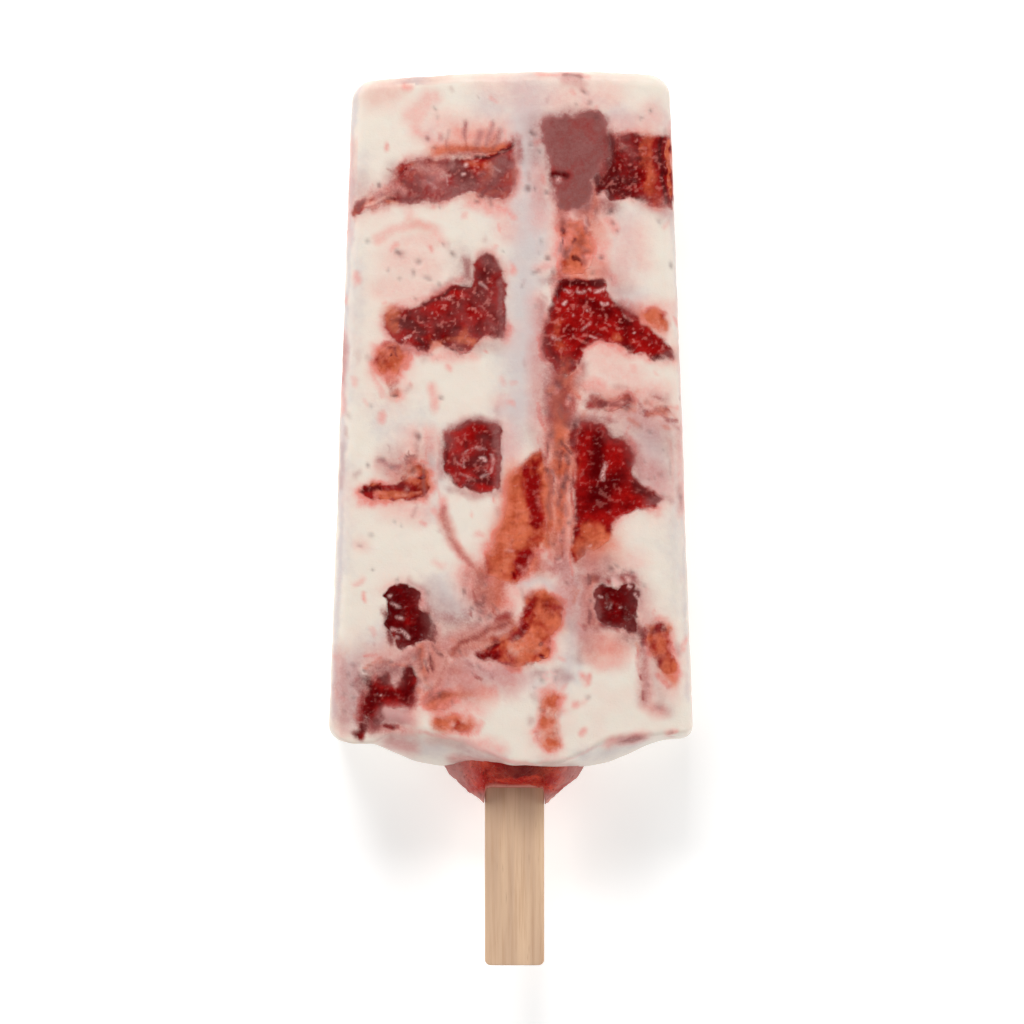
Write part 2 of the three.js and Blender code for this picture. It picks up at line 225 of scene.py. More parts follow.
# %% Outlines of the berries
# Each face's drawing plane: its first, second and outward directions, as in the solids.
PLANES = {
    "front": np.array([[1, 0, 0], [0, 1, 0], [0, 0, 1]], float),
    "back": np.array([[-1, 0, 0], [0, 1, 0], [0, 0, -1]], float),
    "left": np.array([[0, 0, 1], [0, 1, 0], [-1, 0, 0]], float),
    "right": np.array([[0, 0, -1], [0, 1, 0], [1, 0, 0]], float),
    "tip": np.array([[1, 0, 0], [0, 0, -1], [0, 1, 0]], float),
}


def face_of(name):
    kind = name.removeprefix("berry_")
    return next((face for face in ("back", "left", "right", "tip") if kind.startswith(face)), "front")


def floor_outline(name, plane):
    """The closed line round the flat floor of a berry's plug, in its drawing plane."""
    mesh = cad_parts[name].data
    points = to_mould(node_points(name)) @ plane.T
    level = points[:, 2].min()
    key = [tuple(p) for p in np.round(points, 3)]
    edges = {}
    for polygon in mesh.polygons:
        corners = list(polygon.vertices)
        if max(points[corners, 2]) < level + 0.02:
            for a, b in zip(corners, corners[1:] + corners[:1]):
                edges[key[a]] = edges.get(key[a], set()) | {key[b]}
    rim = {a: b for a, ends in edges.items() for b in ends if a not in edges.get(b, set())}
    line = [next(iter(rim))]
    while rim[line[-1]] != line[0]:
        line.append(rim[line[-1]])
    return np.array(line)[:, :2]


def half_width(y):
    return MOUTH_HALF_WIDTH - DRAFT * (y - MOUTH_Y)


def half_thickness(y):
    return MOUTH_HALF_THICKNESS - DRAFT * (y - MOUTH_Y)


def narrow(y):
    return half_width(y) / MOUTH_HALF_WIDTH


def thin(y):
    return half_thickness(y) / MOUTH_HALF_THICKNESS


def wall_start(y):
    """Unrolled millimetres from the middle of the face to where the flat side wall starts."""
    bend = EDGE_RADIUS * math.pi / 2 * (narrow(y) + thin(y)) / 2
    return (MOUTH_HALF_WIDTH - EDGE_RADIUS) * narrow(y) + bend


def wrap_outline(outline):
    """An outline that leaves the face runs on down the side, in unrolled millimetres."""
    down_the_wall = 2.5
    past = np.abs(outline[:, 0]) > half_width(outline[:, 1])
    unrolled = outline.copy()
    far = wall_start(outline[past, 1]) + down_the_wall
    unrolled[past, 0] = np.sign(outline[past, 0]) * far
    return unrolled


def inside_distance(points, outline, reach=4.0):
    """Millimetres to the outline, positive inside it. Points further out than reach get -reach."""
    found = np.full(len(points), -reach)
    low = outline.min(0) - reach
    high = outline.max(0) + reach
    near = np.flatnonzero(((points > low) & (points < high)).all(1))
    spots = points[near]
    gap = np.full(len(near), 1e9)
    inside = np.zeros(len(near), bool)
    for a, b in zip(outline, np.roll(outline, -1, 0)):
        run = b - a
        along = np.clip(((spots - a) @ run) / (run @ run), 0, 1)
        gap = np.minimum(gap, np.linalg.norm(spots - a - along[:, None] * run, axis=1))
        crosses = (a[1] > spots[:, 1]) != (b[1] > spots[:, 1])
        rise = run[1] if run[1] != 0 else 1e-12
        inside ^= crosses & (spots[:, 0] < a[0] + (spots[:, 1] - a[1]) * run[0] / rise)
    found[near] = np.maximum(np.where(inside, gap, -gap), -reach)
    return found


cuts = {}
for name in sorted(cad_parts):
    if name.startswith("berry_"):
        face = face_of(name)
        line = floor_outline(name, PLANES[face])
        cuts[name] = {"face": face, "outline": wrap_outline(line) if face == "front" else line}
print("berries:", len(cuts), "fan outline points:", len(cuts["berry_fan"]["outline"]))

# %% [markdown]
# ## The skin of the mould
#
# Every point of the pop's front can be named by how far it is from the middle of the face, measured
# round the edge if need be, and how far up the pop. Cut berries and marks are placed in these
# unrolled millimetres, so they follow the surface round its corners instead of being projected.

# %% From unrolled millimetres to the surface
FACE_HALF = MOUTH_HALF_WIDTH - EDGE_RADIUS
WALL_DEPTH = MOUTH_HALF_THICKNESS - EDGE_RADIUS


def skin_front(across, y):
    """Point and outward direction on the front half of the mould's skin."""
    side = np.sign(across)
    face = FACE_HALF * narrow(y)
    bend = wall_start(y) - face
    turn = np.clip((np.abs(across) - face) / bend, 0, 1) * math.pi / 2
    down = np.clip(np.abs(across) - face - bend, 0, None)
    x_face = np.minimum(np.abs(across), face)
    x = side * (x_face + EDGE_RADIUS * narrow(y) * np.sin(turn))
    z = (WALL_DEPTH + EDGE_RADIUS * np.cos(turn)) * thin(y) - down
    out = np.stack([side * np.sin(turn), np.full_like(y, DRAFT), np.cos(turn)], -1)
    return np.stack([x, y, z], -1), out / np.linalg.norm(out, axis=-1, keepdims=True)


def skin_back(across, y):
    point, out = skin_front(across, y)
    turned = np.array([-1.0, 1.0, -1.0])
    return point * turned, out * turned


def skin_left(z, y):
    out = np.stack([np.full_like(y, -1.0), np.full_like(y, DRAFT), np.zeros_like(y)], -1)
    return np.stack([-half_width(y), y, z], -1), out


def skin_right(z_down, y):
    point, out = skin_left(-z_down, y)
    turned = np.array([-1.0, 1.0, 1.0])
    return point * turned, out * turned


def tip_height(x):
    return TIP_Y - 0.0012 * (x - 8.0) ** 2


def skin_tip(x, z_down):
    y = tip_height(x / narrow(TIP_Y))
    out = np.stack([np.zeros_like(y), np.ones_like(y), np.zeros_like(y)], -1)
    return np.stack([x, y, -z_down], -1), out


SKINS = {"front": skin_front, "back": skin_back, "left": skin_left, "right": skin_right, "tip": skin_tip}
middle_point, middle_out = skin_front(np.array([0.0, 31.0]), np.array([0.0, 0.0]))
print("face and side points:", middle_point.round(2).tolist())

# %% [markdown]
# ## How each berry looks
#
# A cut berry is dark and wet where its flesh lies against the mould, orange where it is thin, and
# mauve where a film of yoghurt has crept between it and the mould. Juice has bled a little way
# round it. One line for each berry says how much of each, and how far it sits below the skin.

# %% One line for each berry
Look = namedtuple("Look", "thick softness bleed deep orange veil frost sink roughness")
LOOKS = {
    # thickness, edge softness mm, bleed, deep, orange, veil, frost (pale crystals, partly painted glints),
    # sink below the skin mm, roughness mm
    "slice": Look(0.90, 0.80, 0.60, 0.20, 0.18, 0.48, 0.60, 0.10, 0.12),
    "slab": Look(1.00, 1.00, 0.20, 0.00, 0.05, 0.92, 0.05, 0.04, 0.04),
    "corner": Look(1.00, 0.60, 0.60, 0.60, 0.15, 0.05, 0.45, 0.12, 0.24),
    "fan": Look(1.00, 0.60, 0.75, 0.40, 0.08, 0.15, 0.62, 0.18, 0.15),
    "fanTail": Look(0.80, 0.80, 0.80, 0.15, 0.60, 0.10, 0.20, 0.10, 0.10),
    "wing": Look(1.00, 0.60, 0.80, 0.40, 0.05, 0.00, 0.48, 0.18, 0.17),
    "wingSpot": Look(0.80, 0.90, 0.80, 0.05, 0.70, 0.05, 0.10, 0.08, 0.08),
    "ember": Look(0.42, 1.30, 0.90, 0.00, 0.60, 0.00, 0.10, 0.10, 0.10),
    "heart": Look(1.00, 0.50, 0.40, 0.40, 0.05, 0.10, 0.40, 0.20, 0.13),
    "sliver": Look(0.85, 0.45, 0.70, 0.35, 0.45, 0.05, 0.20, 0.20, 0.08),
    "spade": Look(1.00, 0.80, 0.60, 0.30, 0.05, 0.00, 0.24, 0.20, 0.13),
    "flame": Look(0.90, 1.30, 0.90, 0.08, 0.60, 0.00, 0.15, 0.12, 0.12),
    "bean": Look(1.00, 0.45, 0.55, 0.90, 0.00, 0.00, 0.04, 0.28, 0.18),
    "tuft": Look(1.00, 0.50, 0.35, 0.90, 0.00, 0.02, 0.06, 0.20, 0.18),
    "hook": Look(1.00, 0.90, 0.50, 0.48, 0.04, 0.06, 0.15, 0.12, 0.15),
    "comma": Look(0.95, 0.90, 0.80, 0.12, 0.55, 0.00, 0.15, 0.14, 0.10),
    "drip": Look(0.90, 0.80, 0.80, 0.10, 0.60, 0.00, 0.10, 0.12, 0.10),
    "trickle": Look(0.58, 0.80, 0.75, 0.05, 0.60, 0.05, 0.15, 0.10, 0.10),
    "squiggle": Look(0.65, 0.60, 0.70, 0.20, 0.20, 0.35, 0.20, 0.08, 0.08),
    "upperFleck": Look(0.60, 0.80, 0.80, 0.05, 0.70, 0.05, 0.15, 0.08, 0.08),
    "lowerFleck": Look(0.60, 0.80, 0.80, 0.05, 0.70, 0.05, 0.15, 0.08, 0.08),
    "leftUpper": Look(0.80, 0.60, 0.70, 0.25, 0.20, 0.40, 0.30, 0.10, 0.10),
    "leftLower": Look(0.80, 0.60, 0.70, 0.30, 0.25, 0.30, 0.30, 0.10, 0.10),
    "right": Look(0.80, 0.60, 0.70, 0.15, 0.45, 0.25, 0.30, 0.10, 0.10),
    "tip": Look(0.50, 0.60, 0.40, 0.15, 0.15, 0.60, 0.20, 0.06, 0.05),
}
print("looks written for", len(LOOKS), "berries")

# %% [markdown]
# ## Marks listed one by one
#
# The fine marbling has no rule: a streak where the fruit slid down the mould, a veil of yoghurt, a
# pinhole left by a bubble. Each mark is a short line with a strength and a half-width, as a brush
# stroke would be. A negative strength wipes its layer away. Millimetres from the middle of the
# face, with the tip at 75.

# %% Marks on the front
# Under each strength, its strokes roughly from the tip down: half-width, then the line's points.
STROKES = {}
# grey-lilac, where thin yoghurt lies over fruit or the ice shows through; the thin strokes along the left
# and right edges are painted shade on the rounded edges
STROKES["cool"] = {
    # The thin stroke along the left edge, from (-30, -33) to (-26.4, 72), is painted shade on the rounded
    # edge.
    0.9: [(3.6, 2.5, 71, 3, 44, 1, 18), (0.8, -30, -33, -26.4, 72)],
    0.8: [(2.6, 1, 18, -0.5, 12), (3, 23.5, 14, 24, 6), (1, 1, -10.6, 5, -9.8, 8.8, -12, 9.6, -18)],
    0.7: [(2.6, 9, -9, 13, -15), (2.2, 11, -18, 9, -26), (2.4, -26, -24, -27, -33),
        (1.6, -20.5, -32.6, -18, -32.6)],
    0.6: [(3, -4, 69, 5, 70), (2.6, 17, 68, 20, 66.5), (1.9, -15.8, 58, -11, 55.6), (2.5, 20.5, 17, 26, 16),
        # The thin stroke from (26.9, 66) down to (30, -30) is painted shade on the right's rounded edge.
        (1.6, 24.6, 52.6, 26.6, 52), (0.8, 26.9, 66, 28.8, 20, 30, -30), (2.6, -12, -11, -9, -15),
        (3, -8, -25, 3, -26.5), (1.8, -27.5, -23.6, -27.6, -33), (2, -19, -37.4, -12, -38.6)],
    0.5: [(1.6, 12.4, 71, 14.6, 69.6), (1.6, 17, 49, 17.5, 45), (3, 19, 50, 19, 43), (2, 21, 36.5, 17, 38),
        (1.6, -25.6, 46, -25.8, 34), (3, -21, 15, -16, 17), (0.8, -13.2, 14, -13, 4),
        (2.5, -10, 14, -13, 2), (2, -13.4, -13, -11, -15), (1.6, 12, -39.6, 22, -37.2)],
    0.4: [(1.6, -14, 64.6, -13, 63.8), (3, 24, 60, 24, 68), (2, -25.6, 56, -25, 60), (3, -2, 50, -6, 52),
        (2, -27, 40, -27, 20), (1.6, -28, 10, -28, -8), (2, 27.5, 10, 27.5, -14), (2.2, -21, -17, -23, -20),
        (0.8, -19.4, -27), (2, -8, -37.5, -2, -40.5)],
}
# pink to salmon, where juice has bled
STROKES["blush"] = {
    0.8: [(2.2, 9, 54, 8.6, 50, 9, 45), (3, 8.8, 26, 7.8, 14), (0.4, 6.2, 12, 6.6, -6),
        (0.4, 10.5, 9, 10.5, 0, 10.1, -9)],
    0.7: [(3, 13, 52.5, 13, 44), (1.2, 20.6, 34.8, 25.6, 31.4), (0.5, 4.4, 19.2, 5.2, 15.8, 6.4, 12.8),
        (2.4, 8.3, 15, 8.8, -6), (0.9, -11.5, 3, -10.9, 0, -9.8, -3, -8.4, -6, -6, -8.4),
        (2.6, -4, -8, -1.5, -14), (0.6, 24.4, -25.4, 26, -27.8)],
    0.6: [(2, -8.4, 64.6, -3.6, 64.6), (0.4, -5, 62, -3.8, 66.4), (0.4, -1.6, 62, -1.2, 65),
        (1.2, -25, 52.4, -20, 55.4), (1.4, -6.5, 52.8, -2.8, 52.6, -1, 51.4), (1.3, 16, 50.2, 17.2, 49),
        (1.6, 15.4, 46, 15, 41), (1.4, 15.4, 41, 17, 40), (1.8, 22, 35, 26, 35), (1.1, -25, 3.2, -15, 3.4),
        (1.6, 12.6, 22.6, 14.6, 22.4), (2.2, 13.5, -4.6, 13.4, -8.4), (1.6, 4.6, -7, 7.4, -8),
        (2.4, -7, -9, -4, -15), (2.6, -16.6, -22.4, -9, -21), (0.5, -10.6, -24.2, -8.4, -22.4, -5, -20.8),
        (2.6, -13.4, -25.6, -6.6, -26.4), (1.8, -9, -28.6, -3.6, -28.6), (1, 16.6, -36.8, 22, -36.2),
        (0.5, -17, -31, -15, -29, -11, -27), (0.5, -13.6, -32, -9, -32.2, -5.4, -31.4),
        (0.5, -12.6, -35.4, -6, -35.2, -5, -33.4)],
    0.55: [(0.4, -12.8, 62.6, -11.8, 64.8), (1.8, 15, 28.6, 18.4, 28.2), (0.5, 25.7, 16.5, 28.6, 15.4),
        (2.2, -8, -20, -1.4, -17), (2.6, 14.6, -20, 17.4, -21.6), (1, 26.8, -19, 27.4, -23),
        (3.4, -14, -20, -12, -27), (1.6, -15, -27, -17, -33), (1, -23, -35, -17, -35.4),
        (0.5, 5.1, -29, 5.1, -34, 4.6, -36, 6, -38.6, 8.2, -38, 7.8, -29)],
    0.5: [(0.4, 4.6, 74.3, 13.5, 74.3), (2, -12, 62.6, -3, 63.4), (1.2, -6.4, 27.6, -13, 27.4),
        (0.6, -23.2, 28, -22.8, 23, -21.4, 20.6), (0.9, -18.2, 25.6, -18.4, 21), (0.4, -14.1, 15, -14.2, 3),
        (0.8, -12.9, 22.2, -12.6, 18.6), (1.6, 13.4, 20.4, 14.4, 19), (1.6, -13.6, 14, -13.4, 12.6),
        (1.6, -20, 8, -19, 7), (2, 8.8, -6, 9.4, -14), (1, -0.6, -9.4, 0.6, -12), (2.4, 13, -10, 13, -19),
        (1.2, 17, -17.8, 21, -18.4), (2.4, -22, -23.4, -17, -22.6), (3, -7, -22, 0, -26),
        (1.2, 22.6, -20, 22.8, -30.4, 24.8, -32), (2, -14, -30, -6, -31), (0.6, 26.2, -35.9, 28, -35.4),
        (1.6, -19.8, -37.2, -17, -37.8), (1, -9.6, -40, -1, -41)],
    0.45: [(1.5, -15.6, 65, -12.6, 63.2), (1, 5, 41.8, 6.8, 43, 7.4, 46), (1.4, -13, 37.6, -19, 35.6),
        (2.4, 15, 21, 25, 20.6), (0.5, 26.5, 13.6, 27, 9, 26.9, 6), (3, -2, -20, -8, -24),
        # The stroke from (-8, -36.4) to (-2, -38) and the long line after it run along the lip: pink stain
        # and painted shadow under the lip.
        (2.4, -20, -22, -18, -31), (1.2, -8, -36.4, -2, -38),
        (0.5, -18.5, -35.7, -14.5, -35.2, -10.8, -36.3, -7.6, -36.9, -4.4, -38.3, -1.1, -39.9, 4, -40.7)],
    0.4: [(1.6, 9.4, 73.4, 11.8, 73.2), (1.4, 11.8, 73.4, 12.6, 68.6), (1.6, -16.6, 67.6, -13.4, 70.6),
        (1.2, -16, 66, -14, 69.4, -12.6, 71), (1.8, 4.8, 36, 4.8, 16), (1, -28.6, 31, -28.6, 18),
        (1, -22.2, 46.8, -19.8, 48.2, -15.6, 49.3, -12.8, 48.2, -11.2, 45.8), (3, 14, 18.6, 26, 17),
        (1.6, -16.4, 14, -16, 9.5), (2, -21, 9), (0.35, -11.9, 14, -12, 4), (1.4, 28.6, 16, 28.6, 2),
        (2.6, 21, 10, 26, 5), (1.4, 13.4, -1, 17.4, -4.6), (0.6, -0.8, -11.8, 5.8, -11), (1.6, 6.5, -36),
        (2.4, 19, -10, 22, -17), (1.3, 12.6, -18.6, 13, -22, 14.4, -23.8, 17.6, -23.4, 19, -21.6)],
    0.35: [(2.2, 23.2, 67.8, 24, 66), (2.4, 17, 66, 24, 65.6), (2.6, -12, 66, -2, 65), (2, 5, 58, 4.6, 50),
        (0.8, -16.8, 52.5, -16.6, 50), (3.2, 14, 27, 20, 23.5), (2.4, -1.6, 15, 0.6, 9),
        (2.2, -20, 2.4, -15, 1.6), (2, 24.6, -19, 26.4, -28)],
    0.3: [(3, 8, 70, 16, 71), (2, -2, 60, -0.5, 48), (1.6, -17.5, 46.4, -13, 46.2), (3, 20, 48, 18, 41),
        (1.8, 21, 48, 21.8, 42.6), (3.4, -19, 43.6, -14.4, 42), (2.5, -21, 38.5, -14, 38.4),
        (1.4, -1.8, 19.7), (2.4, -17, 13, -20, 9), (1.3, -24.9, -4.1), (2.4, 12, -12, 20, -7),
        (1.6, -28.4, -23, -28, -35)],
    0.2: [(3.5, -3, 73, 4, 70, 14, 71), (2.4, -22.6, 70.6, -20, 71.6), (3, -26, -24, -26, -33),
        # Just under the lip: painted shadow, tinted pink.
        (1.2, -14, -36.6, -9, -37.4, -4.6, -39)],
    -0.6: [(1.5, 25.2, 26.4, 26.6, 24.6)],
    -0.5: [(1, 24.6, 65, 26.6, 64.8), (1.6, 24.4, 25.2, 27, 25.2), (1.3, -20.4, 22, -18.8, 22.4)],
    -0.4: [(1.4, -11, -1, -10, -2.2)],
    -0.3: [(1.3, 13.6, 50, 14.2, 48.8), (1.4, 28.2, -20, 26, 40), (1.2, 8.4, -34, 8.8, -35.4)],
}
# orange juice and thin orange flesh
STROKES["orange"] = {
    1.0: [(1.2, -20.4, 34.2, -19.4, 33), (2, 0.6, 7, -0.4, 0, -1.8, -6.6), (0.9, 25, -20, 25, -22),
        (1, 25.6, -24.6, 27, -26.8)],
    0.9: [(0.6, 26.6, 63.4, 26.9, 54.6), (1.5, 11, 44.6, 10.4, 41.4), (1.3, 23.8, 34.2, 25, 32.4),
        (0.9, -13, 29.9, -6, 29.7), (1.2, -16.4, 8.6, -15.4, 6.4), (2, 8.2, 14.4, 8.4, 8, 8, -4),
        (1.6, 2.4, 1, 1.4, -3.4), (3, 13, -4.4, 15, -4.6), (0.9, 6.8, -29.4), (0.9, 6.6, -36.6, 7.2, -37.2),
        (0.9, -12.6, -33.7, -11, -34.2)],
    0.8: [(1.2, -12.6, 61.8, -6, 62.2), (1, -10.6, 61.8, -1.6, 62.2), (1.4, 11.4, 48.4, 12.6, 46.4),
        (1, -18.8, 27.4), (1.4, -21.2, 27.6, -21.2, 25.2), (0.9, -21.6, 4.4, -15, 4.5),
        (1, 6.1, 8, 6.2, -4), (1, 4.8, -1, 4.6, -4), (1.5, 12.6, -2, 12.6, -4.6), (1.8, 5, -14, 6.8, -17.2),
        (1.2, 4.2, -18.4, 3.6, -22), (1, -14.8, -21.2, -14.4, -25.4), (0.7, -14, -30.4, -6.6, -28.9),
        (0.8, -8.6, -34.2, -6.8, -33.8)],
    0.7: [(1.2, -12.4, 61.4, -6.6, 62.2, -1.8, 62), (1.2, 21.4, 62.6, 21.6, 59.4),
        (1.6, 10, 42.4, 14, 41.6), (1.3, 15, -1.6, 14.8, -4.4), (0.8, 6, -31.4, 6.4, -35)],
    0.6: [(0.6, 13.6, 43.6, 15.2, 42.4), (1, 21.6, 34.8, 23, 33.6), (1.6, -3, -8, -2.6, -13.4),
        (2.2, -4.8, -9.4, -3.4, -13.6), (1.8, 0.6, -21.6, 4.2, -20.6), (0.7, -12.8, -20.8, -13, -25.6)],
    0.5: [(1, -10.4, 62.8, -3.4, 63.2), (1.5, 22.6, 63.6, 23.3, 54.2), (1.6, -3.6, 56.8, -1.4, 58),
        (1, 14.2, 57, 13.6, 53), (2.2, 12, 53.6, 13.6, 48), (1, 8.4, 53, 8.4, 48), (1.4, 22.2, 34),
        (1.3, -11.6, 31.4, -7.6, 31), (1, 17.4, 30.2, 19.4, 29.2), (1.8, 9.4, 26, 10, 22.6),
        (0.8, -20.4, 24, -19.8, 20.6), (1.8, 9, 24, 8, 19.8, 7.8, 16.4), (1.8, -18, 6.6, -16, 9.6),
        (0.9, 10.4, -0.4, 10.6, -2.4), (1.2, 13, -10, 13, -17), (0.9, -0.2, -17, -8, -20.2, -10.2, -22.4),
        (1.4, -8, -21, -3, -20), (1.2, 24.8, -20.6, 25.6, -23.4), (1.2, -12.6, -20, -12.4, -26),
        (0.6, -10.2, -22, -11.6, -26, -15, -29.6)],
    0.4: [(1.2, -6.4, 54.6, -1.4, 54.4), (1.4, 24.6, 52.8), (1.4, 7.4, 33, 7.6, 29),
        (1.4, 15, 20, 19, 20.2), (0.9, 24, 18.4, 26, 19), (0.8, -11.2, 1, -9.4, -3.6, -6, -8),
        (1.6, 4.6, -6.6, 4.8, -8), (1.4, 13.4, -17, 13.6, -15), (1.8, -8, -19.6, -3, -19),
        (2.2, 14, -21.4, 17.4, -21.2), (1.8, -14.6, -22.6, -9, -25), (1.6, -8.4, -28.6, -5, -28.6)],
    0.3: [(1.8, -8.4, 64.4, -4, 64.4)],
    0.2: [(2.2, -22.6, 70.6, -20, 71.6), (1.2, -16, 49.4, -14, 48.4)],
    -0.8: [(1.3, 2.8, -5.8, 1.8, -8.2), (1, -5, -22.6, -2.6, -22.3)],
    -0.6: [(1.3, -20.2, 22, -18.8, 22.6), (1.1, 3, 8.2, 3.4, 1.8)],
    -0.5: [(1.5, 3.8, 9, 3.8, 5), (1.3, 4.6, 3, 4.2, -4)],
    -0.3: [(1.2, 13, 44.4, 14, 42.8), (1, 8.4, -34.2, 8.6, -35.4)],
}
# the dark red of wet, thick flesh
STROKES["deep"] = {
    1.0: [(0.45, 24.9, 64, 25.2, 58, 25.9, 53), (0.7, 7.2, 57.6, 8.2, 58.2, 9.2, 57.8),
        (0.8, 14.3, 55.8, 15.6, 56.2)],
    0.9: [(0.4, -8.4, 60.2, -5, 60.4, -2.6, 60.8, -0.4, 61.8, 0.6, 63.4), (0.8, 14.2, 57.4, 14.6, 55),
        (0.45, 10.7, 43.5, 11.7, 43.4), (1, -3.6, 43, -4.8, 40.4), (0.4, 8.6, 40, 14.8, 39.8),
        (0.6, 8.2, 39.7, 14.8, 39.4), (0.7, 7.8, 37.4, 8.8, 39.4), (1, -18, 33, -14.6, 31.4),
        (0.7, -15.2, 30, -14.6, 29.5), (0.35, -20, 27.6, -20, 27.2), (0.9, 10.3, 15.9), (2, 17.4, 7, 14, 4),
        (2, 14.4, 13, 14, 8), (1.1, -5.2, 8, -4, 6.9), (0.6, 11, -1.6, 10.7, -6), (0.5, 4.8, -20.6),
        (1.4, -22.6, -28.6, -23.6, -32), (0.6, -24.8, -35, -24.6, -34.2)],
    0.85: [(1.2, 16.6, 64, 16.4, 58), (1.6, -9.4, 58.8, -7, 56.6), (1.4, 17.4, 57.4, 21, 56.6),
        (1.2, -6.8, 9.4, -5, 10.4), (1.2, 20.4, 5.6, 24, 3.6), (0.9, -17.4, -25.4, -17.4, -29.6)],
    0.8: [(0.7, 5.8, 31, 6.4, 28.2, 7.6, 26.2), (0.6, -4.4, 6.6, -7, 6.2), (0.7, -25, 4.8, -21.6, 5),
        (0.7, 5.4, -22.6), (1.6, -23.6, -27.6, -23.8, -32.6), (0.5, -19.7, -34.8)],
    0.7: [(0.6, 17, 55, 22, 54.4), (0.6, 8.7, 48.2), (0.5, -6.8, 39.4, -12, 37.4, -16, 35.6),
        (1.4, 12, 36.4, 16, 34.6), (0.7, 6, 33, 6.8, 36), (0.4, 22.2, 17.9), (0.5, -10.8, 13, -10.8, 9),
        (0.5, -10.6, 8, -9, 6), (1.2, 12.4, 3.4, 16, 2.6), (0.6, 14, -3, 14.8, -2.6),
        (0.8, -13.8, -16, -13, -18), (0.5, 20.2, -18.3, 21.8, -19.1), (0.8, -5, -22.7, -2.2, -22.3),
        (0.35, -15, -21.6, -15, -24.4), (0.6, 24.4, -23.4, 25, -24), (1, -17, -25, -17, -30),
        (1.2, -21, -28.8, -17.6, -29.4), (0.8, -23.8, -33.4, -24.2, -34.8), (0.7, -26, -35.6, -24, -34.6)],
    0.6: [(1.2, 17.4, 60.4, 19.6, 59.8), (1.2, -3.4, 56, -1, 59), (0.8, -15.4, 57.2, -15.2, 55),
        (0.5, -20.4, 53.6, -14.4, 53.1), (1.2, -3.8, 43.6, -3.7, 41.6), (0.9, 8.8, 42, 9, 40.4),
        (1.2, -5, 37.6, -2.6, 34), (0.4, -19.4, 33.4), (0.7, 13, 29.8, 10.4, 27.4), (0.6, 0.4, -9.4),
        (0.35, -21, 28.6, -19.4, 28.9, -19, 27), (0.6, 14.6, 19.6, 16.8, 19), (1, -20.4, -16, -19.8, -20),
        (0.8, 20.4, -17.4, 22.4, -19.4), (1, 23.8, -18.4, 25.4, -18.4), (0.9, 0.4, -19.8, 2.2, -17.8),
        (0.6, -2, -20.4, -3.4, -21.2), (0.45, -20.6, -34.7, -19.9, -34.8), (0.7, -24.6, -34.4, -25.1, -36)],
    0.5: [(0.5, -19, 57.4, -17.4, 59, -15.4, 58.4), (0.8, 12, 31.4, 15, 31), (1.2, 18.6, 33, 25.6, 28.8),
        (0.45, 17, 20.2, 19.4, 20.2), (0.9, 10.3, 15, 10.5, 12), (0.5, -21.6, 5.1, -18, 5.3),
        (1, 4, 3.4, 4.2, -1), (0.6, 16.2, -0.6), (0.4, -1.8, -8.4), (1.6, -13.4, -15.6, -13.2, -20),
        (0.4, -3.6, -23.8, 4.4, -24), (0.9, -20.8, -25.2, -19, -24.8), (0.9, -21, -25.8, -19, -25.2),
        (0.6, 6.8, -29.2), (0.4, -12.4, -30.2), (1, -23.6, -34, -22, -34.6)],
    0.45: [(0.9, 17.2, 35.6, 20.6, 34), (1, 8.6, 24.6, 8.4, 19), (0.9, 3, 8, 3.4, 2.4),
        (1.2, 2.8, -15, 4.2, -13.8), (1.6, 6, -14, 6.6, -17),
        (0.4, -0.5, -17, -4, -18.6, -8, -20.2, -9.6, -22.2)],
    0.4: [(0.9, -21.4, 27, -21.2, 25), (1.9, 3.9, 9, 4, 4.6), (1.2, 0, -1, -1.4, -6), (0.5, 5.8, -31.8),
        (1.3, 2.6, -5.4, 1.8, -8), (1.2, 3.2, -6, 2.2, -8.4), (0.6, -12.2, -33.8), (0.6, 6.9, -37.2)],
    0.35: [(0.9, -10, 62.2, -6, 62.2), (0.8, -4.6, 61.8, -1, 62.2), (1.4, 10.4, 35, 11, 33),
        (0.7, 24.5, 32.9), (1.4, 2, -16.4, 3.4, -16.8), (0.4, -5.5, -19.2, -8.6, -21.5),
        (1.4, 25, -20.4, 26, -25), (0.8, -22.4, -35, -19, -34.6)],
    0.3: [(1.6, 8.4, 13, 8.6, 5), (0.3, -24.6, 4, -16, 3.9), (1.5, 13, -2, 15, -3)],
    0.2: [(1.6, 8.8, 28, 8.4, 20), (1.4, 4.6, 2, 4.6, -4)],
    -1.0: [(2.8, 12.8, -4.6, 15.6, -4.2)],
    -0.9: [(0.5, 26.6, 63.4, 26.9, 54.6)],
    -0.7: [(1.5, 22.4, 63.6, 23.3, 54.4), (1.6, -14.4, 58.2, -12.6, 56)],
    -0.6: [(1.3, 24.6, -20.6, 25.6, -24)],
    -0.5: [(1.6, 7.4, 33, 7.6, 29), (1.6, 8.6, 26, 8.4, 20), (0.8, -20, 4.4, -14.6, 4.6)],
    -0.4: [(1.6, 19.4, 62.6, 19.6, 60)],
}
